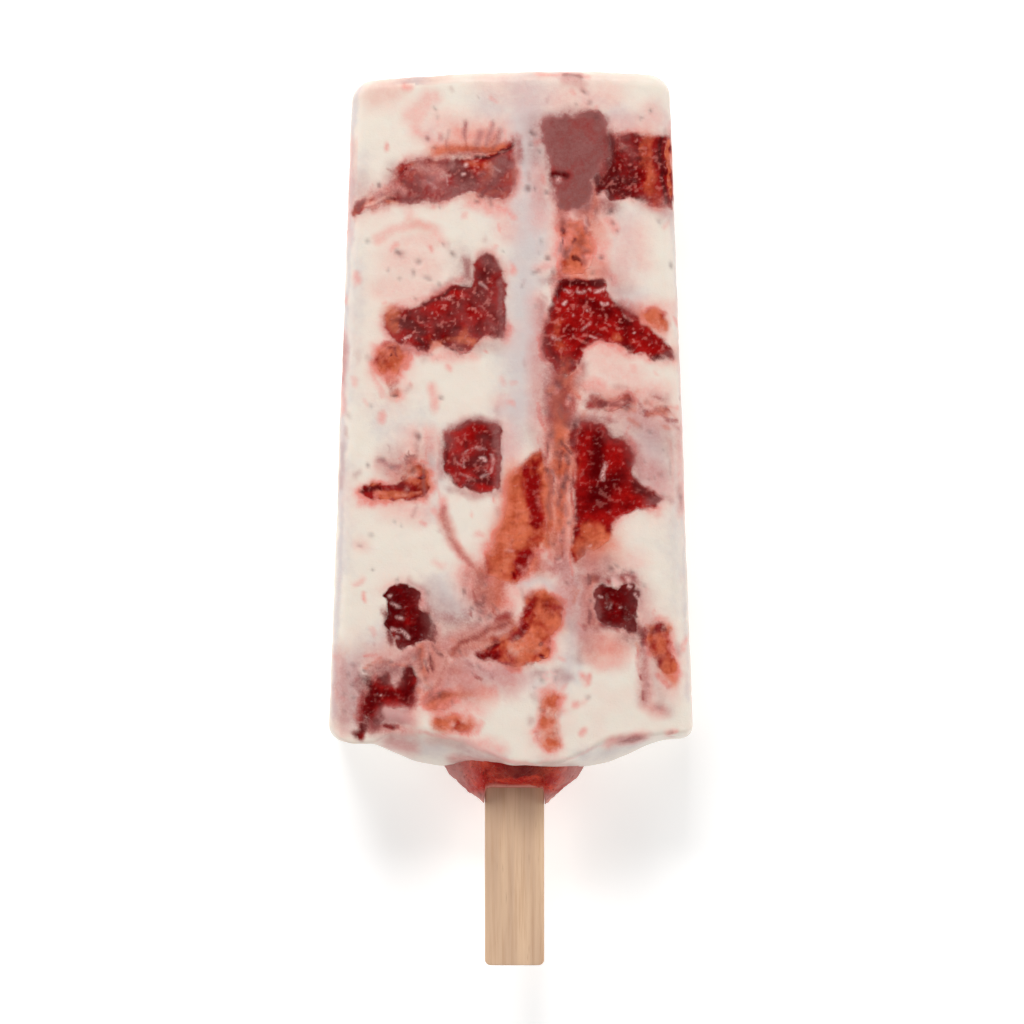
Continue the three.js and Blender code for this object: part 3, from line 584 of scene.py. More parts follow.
# mauve, a film of yoghurt over fruit
STROKES["veil"] = {
    0.9: [(1.4, 9.4, 53.6, 12.2, 53), (0.6, -25.3, 51.8, -24.6, 53.2)],
    0.8: [(0.5, -7.6, 64.4, -7.4, 66.8), (0.7, -1.8, 40, -1.7, 30.6), (0.8, -2.5, 15.6, -2.3, 5.2),
        (0.7, -10, 15.9, -5, 16.9, -2.4, 16.2), (0.7, -21.8, 9.8, -19, 9), (1.1, 13.4, -10, 20, -9.8),
        (1.2, -22.9, -33.6, -22.4, -34.8), (0.6, 18.6, -36.7, 22, -36.5)],
    0.7: [(0.9, 6, 67, 9, 67.9, 13, 68.1, 15.2, 67), (0.45, -4.2, 63, -3.3, 66.4),
        (0.8, 5.8, 65, 6.8, 56, 7.8, 53), (1.4, -14, 58.6, -13, 55.4), (1.5, -13.8, 57.4, -11.2, 55.6),
        (1.1, -4.6, 43.8, -2.8, 42.4), (1.1, -7.4, 43.6, -7.1, 40.8), (0.7, 26, 27.8, 27.2, 27.2),
        (0.9, 14.4, -11.4, 14.4, -15.6), (1.6, -20.6, -25.4, -18.4, -25.6), (1.6, -21.4, -33, -18, -33.4)],
    0.6: [(0.45, -5.8, 62.8, -5, 65.2), (0.45, -2.8, 62.6, -2, 65), (1.2, 1, 63, 1.4, 60.2),
        (1.6, -15, 59.2, -12.2, 57.8), (0.7, 0.2, 61, 0.6, 56), (0.45, -22.2, 55.4),
        (1.2, 8.6, 51.6, 8.6, 49.6), (1.2, -7.4, 42, -7.6, 39.6), (0.9, 5.7, 25, 5.8, 18.4),
        (1.2, 9.6, 16.9, 17, 16.3), (1.3, 20.6, 12.4, 21.4, 7.4), (0.35, -14.3, 9, -14.4, 4),
        (0.7, 22.4, 3.2, 25, 4), (2.2, 12, -6.2, 15.2, -8.4), (1.6, 16, -7.6, 13, -10),
        (0.8, 21.4, -11.6, 21.2, -15), (1.6, -12.4, -16, -9, -17), (0.9, 15.4, -17.8, 19, -18),
        (1.2, -18.6, -23.4, -15.6, -22), (0.5, -15.2, -26, -16.6, -30)],
    0.5: [(0.6, 25.7, 64.6), (1, 17, 63.4, 19, 64.4), (0.5, -14.2, 63.9), (0.3, -10.7, 62.4, -10.2, 65),
        (1.6, 4.4, 66, 4.4, 60), (1.6, -17.6, 57, -17, 55.4), (1.3, -20, 56, -19, 55.2),
        (1.2, -11, 56, -10, 54.8), (1.3, 15.6, 53, 17.4, 52.2), (0.6, -13, 38.6, -9, 40),
        (1.4, -3.6, 33, -3, 31.4), (0.7, 5, 36, 4.6, 30, 5.4, 26.4), (0.6, -17.8, 28.6, -14, 28),
        (0.9, -28.6, 30, -28.6, 23), (0.8, 11.6, 26, 11.2, 23), (0.6, 26, 16.6, 28.4, 15.2),
        (1.2, 13.6, 20.5, 15, 19.2, 17, 19.4, 19.6, 20.2), (0.8, 6.6, 16, 6.6, 12.8),
        (1.2, 17, 14.6, 20, 13.4), (1, -10.5, 14.6, -10.3, 12.6), (0.6, -11.6, 13, -11.4, 7),
        (1.4, -20.6, 8.6, -17.6, 9.6), (0.4, 6.2, 11, 6.3, 0), (0.6, -10, 5, -3, 4.2),
        (0.7, 28, 5.6, 28.4, 2.6), (1.6, 8.6, -4, 9, -9), (1.8, 12.6, -9.6, 16.8, -10),
        (0.6, -16.4, -9.8, -14, -11.4, -13.6, -14), (2.4, 12.6, -8, 12.4, -20), (0.9, 4, -25.2, 5.2, -25.6),
        (1.4, -5.6, -13.6, -5.6, -17), (0.8, -12.6, -16.6, -12.2, -20.4), (1.4, -21.6, -24, -18, -23.6),
        (1, 22.2, -21, 22.8, -25.5, 22.4, -30), (0.9, 7.6, -25.4, 9, -26.4), (1.2, -25.8, -25, -25.8, -28),
        (0.6, -9.4, -23.6, -11, -27.6, -14.4, -29.8), (2, -28, -25, -28.4, -33), (1, -27, -27, -27, -32),
        (1.2, -21, -32.8, -17.6, -32), (1.5, -22.5, -34.5, -18.8, -34.1), (0.5, 26.7, -35.8),
        (0.8, -10, -40.4, -2, -41.2)],
    0.45: [(0.6, -11.6, 64.2), (1.4, 15, 65, 15.4, 61, 14.2, 57.6), (0.5, -21.9, 52.9),
        (1.2, 8.2, 51.6, 12.4, 51.8), (0.8, 18.2, 36.4, 21, 35), (1.4, -5, 29, -3, 29.4),
        (2.4, 7.6, 25, 7.4, 18), (0.9, 21, 19.4, 22.2, 18), (3, 20, 16.6, 26, 13), (0.4, 25.6, 14, 26.4, 8),
        (0.5, -15.6, 14, -15.6, 10), (1.5, 19, -9.6, 20.4, -10.4), (2.4, -13.4, -13.4, -7.6, -16.4),
        (2, 10, -12, 10.6, -18), (1.4, -13.6, -16.4, -13, -14.6), (0.9, 11.4, -19, 11.2, -23),
        (1.2, 24.4, -31, 25.6, -31.8)],
    0.4: [(1.2, 9.6, 73.4, 11.6, 73.4), (1.2, -20.4, 57, -19.8, 59), (1.2, 22, 53, 23.2, 52.2),
        (0.6, 14.2, 53, 14.4, 51), (1.4, -6.4, 40.6, -8, 41.6), (1, 23.6, 18.4, 26, 18.4), (3, 23.6, 8),
        (1.8, 14, 18, 20, 18.2), (0.7, -11.2, 2, -10.2, -2.6, -8.6, -5.4, -6.4, -7.8),
        (1.8, 6.6, -7.4, 9, -7.6), (2, 9.6, -10.4, 12.4, -8), (1, -7, -9.6, -6.8, -13),
        (2.4, -5, -10, -6, -15), (2.6, -11, -17.6, -7.4, -18.6), (2, -8, -19.4, -1.4, -17.4),
        (1.8, -11, -21.4, -7, -22), (2.4, -16.6, -22.4, -9, -22), (2.8, -9, -25, -1, -25.6),
        (2.4, -13, -25.4, -6.6, -25.6), (2, -9.6, -25.6, -7, -28), (1.2, -8.6, -39.6, -2, -40.4)],
    0.35: [(1.8, 25.4, 53, 25.6, 52), (0.8, 5.4, 39.6, 7, 40.6), (2, 16, 40.6, 18, 38.4),
        (1.6, 5, 34, 5, 18), (0.8, 23.6, 20.4, 26, 20.4), (1.8, -19.6, 10.8, -19.4, 7.6),
        (0.7, -28.6, 12, -28.6, 6), (2, 20, -17, 21.6, -12), (1.6, 21.6, -15.4, 23, -17.4),
        (1.6, 18.6, -19.4, 20.4, -19.8), (2.6, -13, -20, -11, -28), (1.6, -19.6, -37, -17.4, -37.6),
        # The first stroke here, just under the lip, is painted shadow in mauve.
        (1, -12.6, -36.6, -8, -38, -5, -39.4), (1, 5.6, -40.6, 9.6, -41)],
    0.3: [(1.3, 18.8, 62.4, 20, 60.8), (2, 5.6, 60, 5.4, 54), (1.8, -25.6, 55, -25.4, 56.4),
        (1.8, -8, 44, -7, 43), (1.6, 3.6, 14.6, 5, 12.6), (1.6, -13.8, 12, -13.4, 9.4),
        (2.6, -24, -23, -18, -22), (1.8, -28.4, -21.8, -28, -24), (1.6, 24, -24, 23.4, -28),
        (0.9, 24.2, -27, 25.4, -31)],
    -1.0: [(0.8, 7.2, 57.9, 9.2, 57.9), (0.8, 10.9, -1, 10.8, -6.6), (2.4, 16.8, -12.2, 18.4, -15.4),
        (1.9, -18, -12.6, -16.8, -16, -16.6, -19.4), (1.2, -5, -22.8, -2, -22.2)],
    -0.9: [(0.7, -8.6, 60.4, -4, 60.6, 0.4, 62.6), (2, 13.4, 12, 16, 6), (1.6, -23, -28, -23.6, -32.6),
        (0.6, -20.6, -34.8, -19, -34.8)],
    -0.8: [(1, -17, -25.4, -17, -29.6), (1.2, -20.6, -29, -16.8, -29)],
    -0.7: [(1, 16.6, 64.5, 16.8, 60, 15.4, 57)],
    -0.5: [(1.4, 7.4, 33, 7.8, 29)],
    -0.4: [(1.4, 25.4, 26.4, 26.6, 24.6)],
    -0.3: [(1.2, 4, 32, 4.8, 31)],
}
# painted highlights on bubbles' rims, crystals and the lip's edge, with some pale frost
STROKES["gleam"] = {
    0.9: [(0.3, -7.6, 59.2), (0.22, 9, 36, 9.4, 36.5), (0.22, 14.9, 36.2, 15.9, 36.2), (0.2, -21.7, -29)],
    0.8: [(0.3, -7.9, 57.7), (0.6, 15.4, 54.2), (0.28, 14, 38.3, 15.3, 38.6), (0.28, 11, 38, 11.7, 38.2),
        (0.18, 20.3, 31.4), (0.25, -17.8, 30.2, -16.8, 30.5), (0.22, -5, 10.6, -4.6, 10.2),
        (0.3, 15.9, 9.8, 15.4, 7.2), (0.25, -4.4, 8.2), (0.35, 17, -9.8, 17.8, -10.8),
        (0.2, 16.1, -10.9, 16.7, -11), (0.2, 19.4, -11.1, 20, -11.3), (0.2, 14.1, -11.7, 14.5, -11.4),
        (0.2, 20.8, -12.2, 21, -12.7), (0.3, -19.8, -13), (0.3, -19.6, -18.4, -18.2, -18.5, -17.2, -19.4),
        (0.25, 5.4, -26, 6.3, -25.1, 7.2, -26, 6.3, -26.9, 5.4, -26)],
    0.7: [(0.5, 8, 57), (0.25, 9.2, 38.4, 9.9, 38.1), (0.2, -13.4, 34.7), (0.25, 18.8, -10, 19.4, -10.6),
        (0.18, 15, -13, 15.3, -13.2), (0.18, 18.4, -14.4, 18.8, -14.4), (0.3, -18.6, -16.4, -18, -16.4),
        # The two strokes that follow run along the lip's edge: a painted highlight.
        (0.2, -13, -35.6, -10.8, -36.1, -7.6, -36.7, -4.4, -38.1, -1.1, -39.7),
        (0.2, -1.1, -39.7, 2.5, -40.8, 4.5, -40.6, 6.1, -39.8)],
    0.6: [(0.22, 12.6, 38.7, 13, 38.5), (0.18, 12.5, 34.7), (0.18, 10.3, 34.1), (0.25, 13.1, -4.1),
        (0.25, 15.6, -10, 16, -10.8), (0.25, -19.4, -14.2, -18.4, -14.6)],
    0.5: [(0.29, -16.4, 59.1), (0.3, 12, 51, 12.6, 49.6), (0.25, 8.5, 47, 8.4, 44.4),
        (0.22, -5, 39.6, -4.4, 39.2), (0.22, -11.4, 37, -9.8, 36.8), (0.25, 11.6, 31.6, 13, 32.8),
        (0.25, 7, 30.6, 8, 30.2), (0.22, 13.2, 30.4, 14.2, 30.1), (0.25, -18.8, -19.6), (0.5, 23, -27),
        # Painted highlight along the lip's edge on the right.
        (0.2, 6.1, -39.8, 10.6, -39.4, 13.4, -38.2, 16.6, -37, 19.9, -35.9)],
    0.4: [(0.2, -11, 57.2, -10.4, 55.8), (0.6, 10.6, 51.4),
        (0.25, -3.7, 11, -3.4, 9.6, -3.8, 8.4, -5.2, 7.4)],
    0.3: [(0.25, -3.2, 59, -2, 58.4), (0.25, -14, 56.8, -12.4, 55.6), (0.2, -8, 7.8, -7, 6.8),
        (0.22, -7.4, 11.4, -5.8, 12.2, -4.4, 11.8), (0.22, -8.8, 9.8, -7.6, 9, -7.6, 10.6),
        (0.22, -0.6, -4.9, 0.6, -4.9), (0.22, 17, -14, 16.6, -14.6), (0.6, -19.3, -27),
        (1.4, -20.2, -32.6, -18, -32.8)],
}
# pinholes left by bubbles
STROKES["spot"] = {
    0.9: [(0.42, 16.8, 51.7)],
    0.8: [(0.42, 3.9, 64.2), (0.45, 2.6, 55.2), (0.42, 6.3, 43.8)],
    0.7: [(0.35, 6.2, 54.5), (0.4, -18.8, 44.6), (0.38, 15.1, 43.8), (0.38, -19.6, 20.7),
        (0.35, 16.6, -8.4), (0.42, 19.7, -8.9), (0.4, -6.6, -14.3), (0.4, -5.4, -15.2),
        (0.38, -19.9, -23.4)],
    0.6: [(0.4, 12.3, 71.7), (0.38, 23.2, 68), (0.35, 14.5, 67.3), (0.38, -22.1, 55.5), (0.45, -5.9, 53.1),
        (0.4, -9.3, 44), (0.45, 26.4, 42.5), (0.36, 7.4, 41.7), (0.36, -11.7, 20.2), (0.4, -15.4, 13.8),
        (0.4, 8.4, 12.4), (0.35, -19.8, 8.9), (0.4, -24, 8.8), (0.3, 8.4, -6.4), (0.35, -5.6, -16.5),
        (0.3, -8.6, -22), (0.33, -24, -25.3), (0.3, -14.3, -26.1)],
    0.5: [(0.35, 9, 74.2, 12, 74.1), (0.38, 12.9, 69.9), (0.3, 17.9, 64.7), (0.3, 5, 61.4),
        (0.3, 3.9, 55.1), (0.4, -3.6, 52.9), (0.35, 16.7, 49.8), (0.4, -15.6, 42.7), (0.35, 13.8, 41.6),
        (0.38, -16.2, 40.8), (0.42, -14, 40.3), (0.33, -12.4, 39.6), (0.3, 5.7, 17.6), (0.3, 23, 14.6),
        (0.3, 9.2, 10.3), (0.4, -21.3, 10), (0.3, 7.8, 4.6), (0.3, 8.6, 1.6), (0.3, 17.6, -7.9),
        (0.3, 18.4, -9.2), (0.4, -18.9, -9.6), (0.28, -25, -24.2), (0.28, -23.2, -24.2), (0.33, -26, -24.4),
        (0.28, -21.6, -25), (0.3, -27, -26), (0.3, -25, -26.4), (0.3, -26.4, -27.6)],
    0.45: [(0.4, -14.2, 63.8), (0.3, -11.3, 45.6), (0.33, 4, 40.7, 5, 41.4), (0.5, 28.3, 4.2),
        (0.3, -22.9, -8.4), (0.28, -22.6, -25.6), (0.26, -24.4, -26.8), (0.28, -25.6, -29),
        (0.28, -26.6, -30)],
    0.4: [(0.3, 10.6, 69.4), (0.3, 16, 67.2), (0.3, 21.6, 67), (0.3, 5.2, 63.8), (0.3, 3.6, 62.5),
        (0.3, -12.9, 62.2), (0.38, 24.8, 50), (0.3, 17.6, 48.5), (0.38, -24, 46.6), (0.3, -20.3, 41.5),
        (0.3, 8.6, 46, 8.6, 44.8), (0.3, 1.9, 38.6), (0.3, 28.6, 20.4), (0.26, 21.6, 15.4),
        (0.26, 22.2, 9.8), (0.3, 9.2, -10.4), (0.35, -13.5, -12), (0.26, -27.6, -29), (0.26, -28, -32)],
    0.35: [(0.3, -12.5, 66.8), (0.3, -18.4, 40), (0.3, -16, 36.9), (0.3, 4, 35.7), (0.4, -29, 30, -29, 26),
        (0.26, 25.4, 12.2), (0.3, 24.6, 7.4), (0.26, 22.8, 6.6), (0.35, -19.6, -0.2), (0.3, -23.3, -2.3),
        (0.4, -25, -4.1), (0.35, 5.1, -26.6), (0.3, 7.4, -26.6)],
    0.3: [(0.35, 4.8, 46.6), (0.35, 4.6, 44.8), (0.4, -23.2, 18.6), (0.5, -27, 17.2), (0.3, -18.2, -0.9),
        (0.4, 12.8, -29.3), (0.4, 24.8, -31.4)],
}
# extra threads of fruit outside the cut berries
STROKES["fruit"] = {
    1.0: [(1, -14, -15.6, -13, -18.2)],
    0.95: [(1, 7.6, 36, 8.6, 39.2), (0.9, -5, -22.6, -2.6, -22.3), (1.3, -21, -28.8, -17.4, -29.6),
        (1.6, -23.2, -27.6, -23.6, -32), (1.3, -22.9, -33.4, -22.4, -34.6),
        (0.5, -20.6, -34.7, -19.9, -34.8)],
    0.9: [(0.8, 14.2, 57.4, 14.4, 54.8), (0.6, 8.6, 40.1, 14.8, 39.9), (1, 6.8, 35, 6.8, 30),
        (0.7, 10.3, 15.9), (1.1, 19.3, 11.8, 19.7, 9.6), (0.7, 17, -12, 18.2, -12.2),
        (0.9, -24.6, -34.2, -25.1, -36)],
    0.85: [(1.1, -3, 61.6, -0.6, 62.2), (0.9, -8.4, 61.6, -3, 62), (1.3, 16.6, 64.4, 16.8, 56.6),
        (1, 17, 35.8, 20.8, 33.8), (1, -10.5, 14.6, -10.3, 12.6), (1, 10.4, 15, 10.5, 11.6),
        (1.2, -17, -24.8, -16.8, -30.4)],
    0.8: [(1.9, 14.8, 64.6, 15.4, 60, 14.4, 57), (2.6, 8.8, 26, 8, 17), (0.9, 13.6, -10.2, 19.8, -10.1),
        (1, -2.4, -16.6, -1, -16.2), (0.9, -2.6, -19.8, -1, -20), (1.3, -25, -27.4, -25, -33),
        (0.9, -23.8, -33.4, -24.2, -34.8), (0.8, -26, -35.6, -24, -34.6)],
    0.75: [(0.9, -12, 61.4, -8.6, 61.6), (1, 12.8, 19.4, 14, 19.8), (0.7, -10, 14.6, -10.6, 10),
        (1.7, 8.3, 13, 8.6, 5), (0.9, 6.1, 10, 6.2, -4), (0.8, 17.4, -17.8, 15, -17.2),
        (1, -20.6, -15.6, -20, -20), (0.8, -14, -16, -12.6, -19.6), (0.9, 22.5, -18.6, 22.6, -20.4),
        (0.6, -20.4, -34.8, -19.2, -34.8)],
    0.7: [(0.8, 8.6, 49.6, 8.8, 47.6), (0.8, 5.8, 33, 5.2, 30, 5.8, 27), (0.4, 21.4, 19, 22.6, 17.6),
        (2, 7.8, 17, 8, 13), (0.8, 16.2, 14.4, 17, 13.8), (0.8, -10.2, 14.4, -10.9, 11.6),
        (0.8, 16.4, -11.4, 17.4, -11.6), (0.9, 20.4, -17.4, 22.4, -19.4),
        (0.7, -0.2, -17, -8, -20.2, -10.2, -22.4)],
    0.6: [(0.4, -25.4, 51.6, -24.6, 52.8), (0.6, 13.2, 20.5, 14.6, 19.4), (0.6, 18, 19.3, 19.8, 20.3),
        (0.6, 16, 19.1, 18, 19.2), (0.5, 23.8, 18.4, 26.2, 18.3), (0.5, 10.4, 12, 10.4, -2),
        (1.6, 8.2, 5, 8.2, -3.4), (0.9, 11.6, -4.8, 11.2, -7), (1.4, -2, -9.6, -2.6, -13),
        (0.6, 20, -18.2, 22, -19.2), (1.1, -5.4, -19.2, -3.8, -19.8), (0.45, -5.5, -19.2, -9, -21.7),
        (1, -15, -21.6, -14.6, -24.4), (1.1, -24.2, -26.8, -21.8, -26.2), (0.8, -12.8, -33.7, -11.2, -34),
        (1.1, -23.6, -34, -21, -34.8)],
    0.55: [(1.2, 9.6, 53.4, 12.6, 53), (1.1, 13.6, 54, 13.8, 50), (1.2, 8.4, 51.8, 12.4, 51.8),
        (1, -7.2, 43, -6.8, 41), (0.4, 20.6, 19.3, 22.2, 17.9), (1, 9.6, 16.7, 16.4, 16.2),
        (1.3, 4.2, -6, 4.4, -8), (2.2, -4.8, -9.4, -3.4, -13.6)],
    0.5: [(0.5, -4.2, 62, -2.4, 64.8), (1.2, -12.4, 61.6, -8, 61.8), (0.8, -9, 60.7, -3, 61.2, 0.2, 63),
        (1, 1, 62.6, 1.3, 60.4), (0.4, -20.8, 58.6, -19.6, 58.4), (1.4, 15.4, 53.2, 17, 52.6),
        (1.2, 12, 48.6, 12.4, 46), (1.2, 9.6, 42.4, 12, 42), (1.2, 7, 39.8, 8, 41.4),
        (0.9, 22.6, 34.2, 25.6, 34.6), (0.8, -21.4, 29.4, -19, 29.6), (1.2, -16.6, 9.6, -15.4, 8.6),
        (1, 19.2, -10, 20.6, -10.6), (1.2, -13.4, -15, -13.2, -17.8), (1.2, 13.6, -15.6, 14, -18),
        (0.4, -13.4, -20.6, -13.8, -25), (1.2, -15.4, -20, -15, -26), (1.4, -23, -25.4, -20.6, -24.4),
        (1.5, -20.6, -25.2, -18.6, -25.2), (1.5, -22.5, -34.2, -19, -33.9), (0.7, -8.8, -34.2, -7, -33.9),
        (0.6, 7.6, -37, 6.4, -37.8)],
    0.45: [(0.35, -7.4, 62, -7.4, 66.6), (1, 10, 46, 9.4, 42.6), (0.4, 24, 20.3, 25.8, 20.3),
        (1.2, 12.4, 19.6, 14.4, 19), (0.6, 23, 18.1, 25.6, 18.5), (0.5, 19.2, -36.7, 21.4, -36.5)],
    0.4: [(0.6, -11.2, 2, -10.2, -2.6, -8.6, -5.4, -6.4, -7.8, -4, -8.8), (1, 7, -8.2, 9, -7.6),
        (1.4, 14.4, -9.6, 16.6, -9.8), (1.3, -8, -15.8, -6.4, -17.6), (1.6, -8, -20, -2, -17.8),
        (1.2, 18.6, -19, 20.6, -19.8), (1.4, -10, -22.6, -4, -20.6), (0.7, -14, -30.4, -7, -29.2),
        (0.45, -10.4, -22.4, -11.6, -26, -14.6, -29.4)],
    0.35: [(0.35, 8.5, 74.2, 12.2, 74.1), (1.4, 10.4, -9.6, 13.4, -11), (1.4, -8.6, -16.6, -11, -16.4),
        (2, -16.5, -22.5, -10.5, -19.5), (0.5, -7.4, -24.4, -3, -25)],
    0.3: [(1.5, -7.6, 41.4, -7.4, 39.6), (1.3, 9.6, -10.8, 11.2, -10.2), (1.6, 12.8, -12, 13, -17),
        (1.6, -10.6, -19.6, -9.6, -26), (0.9, 22, -20.6, 22.6, -25, 22.2, -29.6)],
    -0.8: [(1.6, -26.4, 54.4, -22, 55), (0.7, -21.2, 54.6, -22.6, 53.9), (0.6, -21.4, 53.6, -23, 53.1),
        (0.5, -23.6, 52.6, -22.4, 53.1)],
    -0.7: [(0.4, -24.2, 54, -23.9, 52.4), (0.8, 24.2, 51.6, 26.8, 51.6), (0.45, 19.4, -10.3)],
    -0.6: [(0.7, 24.2, 65.2, 26.6, 65.2), (0.8, -17.2, 28.6, -17.8, 25.2), (1.2, -19.9, 23.4, -19.6, 20.4),
        (0.8, 19, 14.6, 20.6, 12.8), (0.5, 15, -10.3), (0.5, 17.2, -10, 17.5, -10.8), (0.4, 21, -11.4),
        (0.6, 4.1, -28.4, 4.1, -33.4), (0.7, 8.8, -30.6, 8.9, -36)],
    -0.5: [(0.9, 24.6, 65, 26.6, 64.8), (1.5, -15, 59, -12.2, 57.8), (1.3, -20.8, 54.4, -18.6, 55.4),
        (1.4, 25.4, 26.4, 26.6, 24.6), (1.3, -20.2, 22, -18.8, 22.6), (0.3, -19.2, 4.5, -17.6, 4.4),
        (0.3, -21.8, 4.4, -20.6, 4.3), (0.8, 9.8, 1, 9.8, -4), (0.5, -19.2, -27.4, -19.4, -26.8),
        (0.6, -9.8, -33.6)],
    -0.4: [(1.1, 22, 65, 23.4, 64.6), (0.7, -20.4, 54.8, -19.8, 57.2), (1, -21.6, 52.4, -24, 52.2),
        (1.2, 25.4, 52.4, 26.4, 52.2), (0.9, 3, 33.6), (0.9, -10.2, 7.2, -13, 7.2),
        (0.3, -16.6, 4.6, -15.2, 4.7), (1.5, 1, -21.4, 4, -20.8), (1.2, -25.8, -28.6, -25, -28.2),
        (0.8, 6.2, -31.6, 6.2, -35.4)],
    -0.3: [(1.2, 22, 53, 23.2, 52.2), (1, 14.2, 51, 14.4, 48), (1.2, 13, 44.4, 14, 42.8),
        (1.2, 4, 32, 4.8, 31), (1.3, -8.2, 28.8, -7, 28), (0.8, 12, 17, 16, 16.4),
        (1.3, -2.2, -1.2, -1.2, -2.2), (1.1, -12.8, -15.6, -12.2, -20), (1.1, -11.4, -31.6, -9.6, -31.4)],
    -0.2: [(1.3, 18.8, 62.4, 20, 60.8), (1, -17, 4.6, -15.6, 4.4)],
}
MARKS = {
    layer: [(strength, *stroke) for strength, strokes in groups.items() for stroke in strokes]
    for layer, groups in STROKES.items()
}
print("marks:", {layer: len(marks) for layer, marks in MARKS.items()})

# %% [markdown]
# ## From marks to values on the surface
#
# Each layer becomes one number at every point of a mesh. The points are pushed about a little by
# noise before they are measured against the marks, so that no stroke keeps a ruled edge. The same
# numbers are worked out for the yoghurt and for the berries, so colours meet at their border.

# %% Measuring the marks
def line_distance(spots, line):
    """Millimetres from each spot to a line of points."""
    gap = np.linalg.norm(spots - line[0], axis=1)
    for a, b in zip(line, line[1:]):
        run = b - a
        along = np.clip(((spots - a) @ run) / (run @ run), 0, 1)
        gap = np.minimum(gap, np.linalg.norm(spots - a - along[:, None] * run, axis=1))
    return gap


# How far a stroke reaches past its line, in half-widths: where it starts to fade, and where it ends.
BRUSH_EDGE = 1.4
BRUSH_REACH = 2.1


def mark_layer(spots, marks, wiping=False):
    """The strongest mark at each spot: each fades from its line like a soft brush."""
    layer = np.zeros(len(spots))
    for strength, width, *path in marks:
        if (strength < 0) != wiping:
            continue
        line = np.array(path, float).reshape(-1, 2)
        reach = BRUSH_REACH * width
        near = np.flatnonzero(((spots > line.min(0) - reach) & (spots < line.max(0) + reach)).all(1))
        away = line_distance(spots[near], line) / width
        value = abs(strength) * np.exp(-0.8 * away**2) * (1 - ramp(away, BRUSH_EDGE, BRUSH_REACH))
        layer[near] = np.maximum(layer[near], value)
    return layer


def pushed(spots, seed):
    """Spots moved by up to about half a millimetre, so that strokes lose their ruled edges."""
    sway = np.stack([soft_noise(spots, 3.2, seed + k, 2) for k in (0, 50)], -1)
    shake = np.stack([soft_noise(spots, 0.9, seed + k, 2) for k in (25, 75)], -1)
    return spots + 0.8 * sway + 0.22 * shake


# The back is painted with the front's strokes, moved and turned by so many degrees with the berry
# that they belong to: one whose outline they come within so many millimetres of.
BELONGS_WITHIN = 1.6
BACK_COPIES = {
    "backFan": ("fan", 196), "backSpade": ("spade", 78), "backHeart": ("heart", 35),
    "backComma": ("comma", 160), "backWing": ("wing", 150), "backBean": ("bean", 62),
    "backTuft": ("tuft", 115), "backDrip": ("drip", 20),
}


def middle_of(outline):
    """The centre of area of a closed line."""
    x, y = outline.T
    x2, y2 = np.roll(outline, -1, 0).T
    cross = x * y2 - x2 * y
    return np.array([((x + x2) * cross).sum(), ((y + y2) * cross).sum()]) / (3 * cross.sum())


def moved_marks(source, copy, degrees):
    """The marks on and near one berry, turned and moved to its copy."""
    angle = math.radians(degrees)
    turn = np.array([[math.cos(angle), -math.sin(angle)], [math.sin(angle), math.cos(angle)]])
    outline = cuts["berry_" + source]["outline"]
    start, goal = middle_of(outline), middle_of(cuts["berry_" + copy]["outline"])
    found = {}
    for layer, marks in MARKS.items():
        found[layer] = []
        for strength, width, *path in marks:
            line = np.array(path, float).reshape(-1, 2)
            if inside_distance(line, outline).min() > -BELONGS_WITHIN:
                placed = (line - start) @ turn.T + goal
                found[layer].append((strength, width, *placed.ravel()))
    return found


back_marks = {layer: [] for layer in MARKS}
for copy, (source, degrees) in BACK_COPIES.items():
    LOOKS[copy] = LOOKS[source]
    for layer, marks in moved_marks(source, copy, degrees).items():
        back_marks[layer] += marks
FACE_MARKS = {"front": MARKS, "back": back_marks}
print("marks moved to the back:", sum(len(marks) for marks in back_marks.values()))

# %% [markdown]
# ## Stray bits of fruit
#
# Pulp broke off the fruit as it was stirred in and poured. Small flecks and pinholes lie thickest
# near the cut berries, and trails of pulp follow the lines where a berry slid down the mould. The
# faces with few cut berries also have wide clouds of juice and ice, and small heaps of fruit just
# under the skin. All of it is dealt out by seeded dice as more strokes of the same brush.

# %% Flecks near the fruit
LAYERS = ("cool", "blush", "orange", "fruit", "deep", "veil", "frost", "gleam", "spot")
FLECK_REACH = 6.0


def flecks(face, count, seed):
    """Short random strokes of pulp and pinholes, most of them within a few mm of a berry."""
    dice = np.random.default_rng(seed)
    places = dice.uniform((-29, -36), (29, 73), (count * 4, 2))
    nearest = np.full(len(places), -FLECK_REACH)
    for cut in cuts.values():
        if cut["face"] == face:
            nearest = np.maximum(nearest, inside_distance(places, cut["outline"], FLECK_REACH))
    likely = np.where(nearest < -0.3, np.exp(nearest / 1.6) + 0.06, 0)
    chosen = places[dice.random(len(places)) < likely][:count]
    strokes = {"blush": [], "veil": [], "spot": []}
    for x, y in chosen:
        layer = dice.choice(["blush", "blush", "blush", "veil", "spot"])
        length = dice.uniform(0.2, 1.4) if layer != "spot" else 0.05
        angle = dice.normal(math.pi / 2, 0.7)
        end = (x + length * math.cos(angle), y + length * math.sin(angle))
        strength = {"blush": 0.5, "veil": 0.35, "spot": 0.4}[layer] * dice.uniform(0.5, 1.2)
        width = dice.uniform(0.2, 0.32) if layer == "spot" else dice.uniform(0.25, 0.7)
        strokes[layer].append((strength, width, x, y, *end))
    return strokes


front_flecks = flecks("front", 240, 3)
back_flecks = flecks("back", 200, 4)
print("flecks on the front:", sum(len(strokes) for strokes in front_flecks.values()))

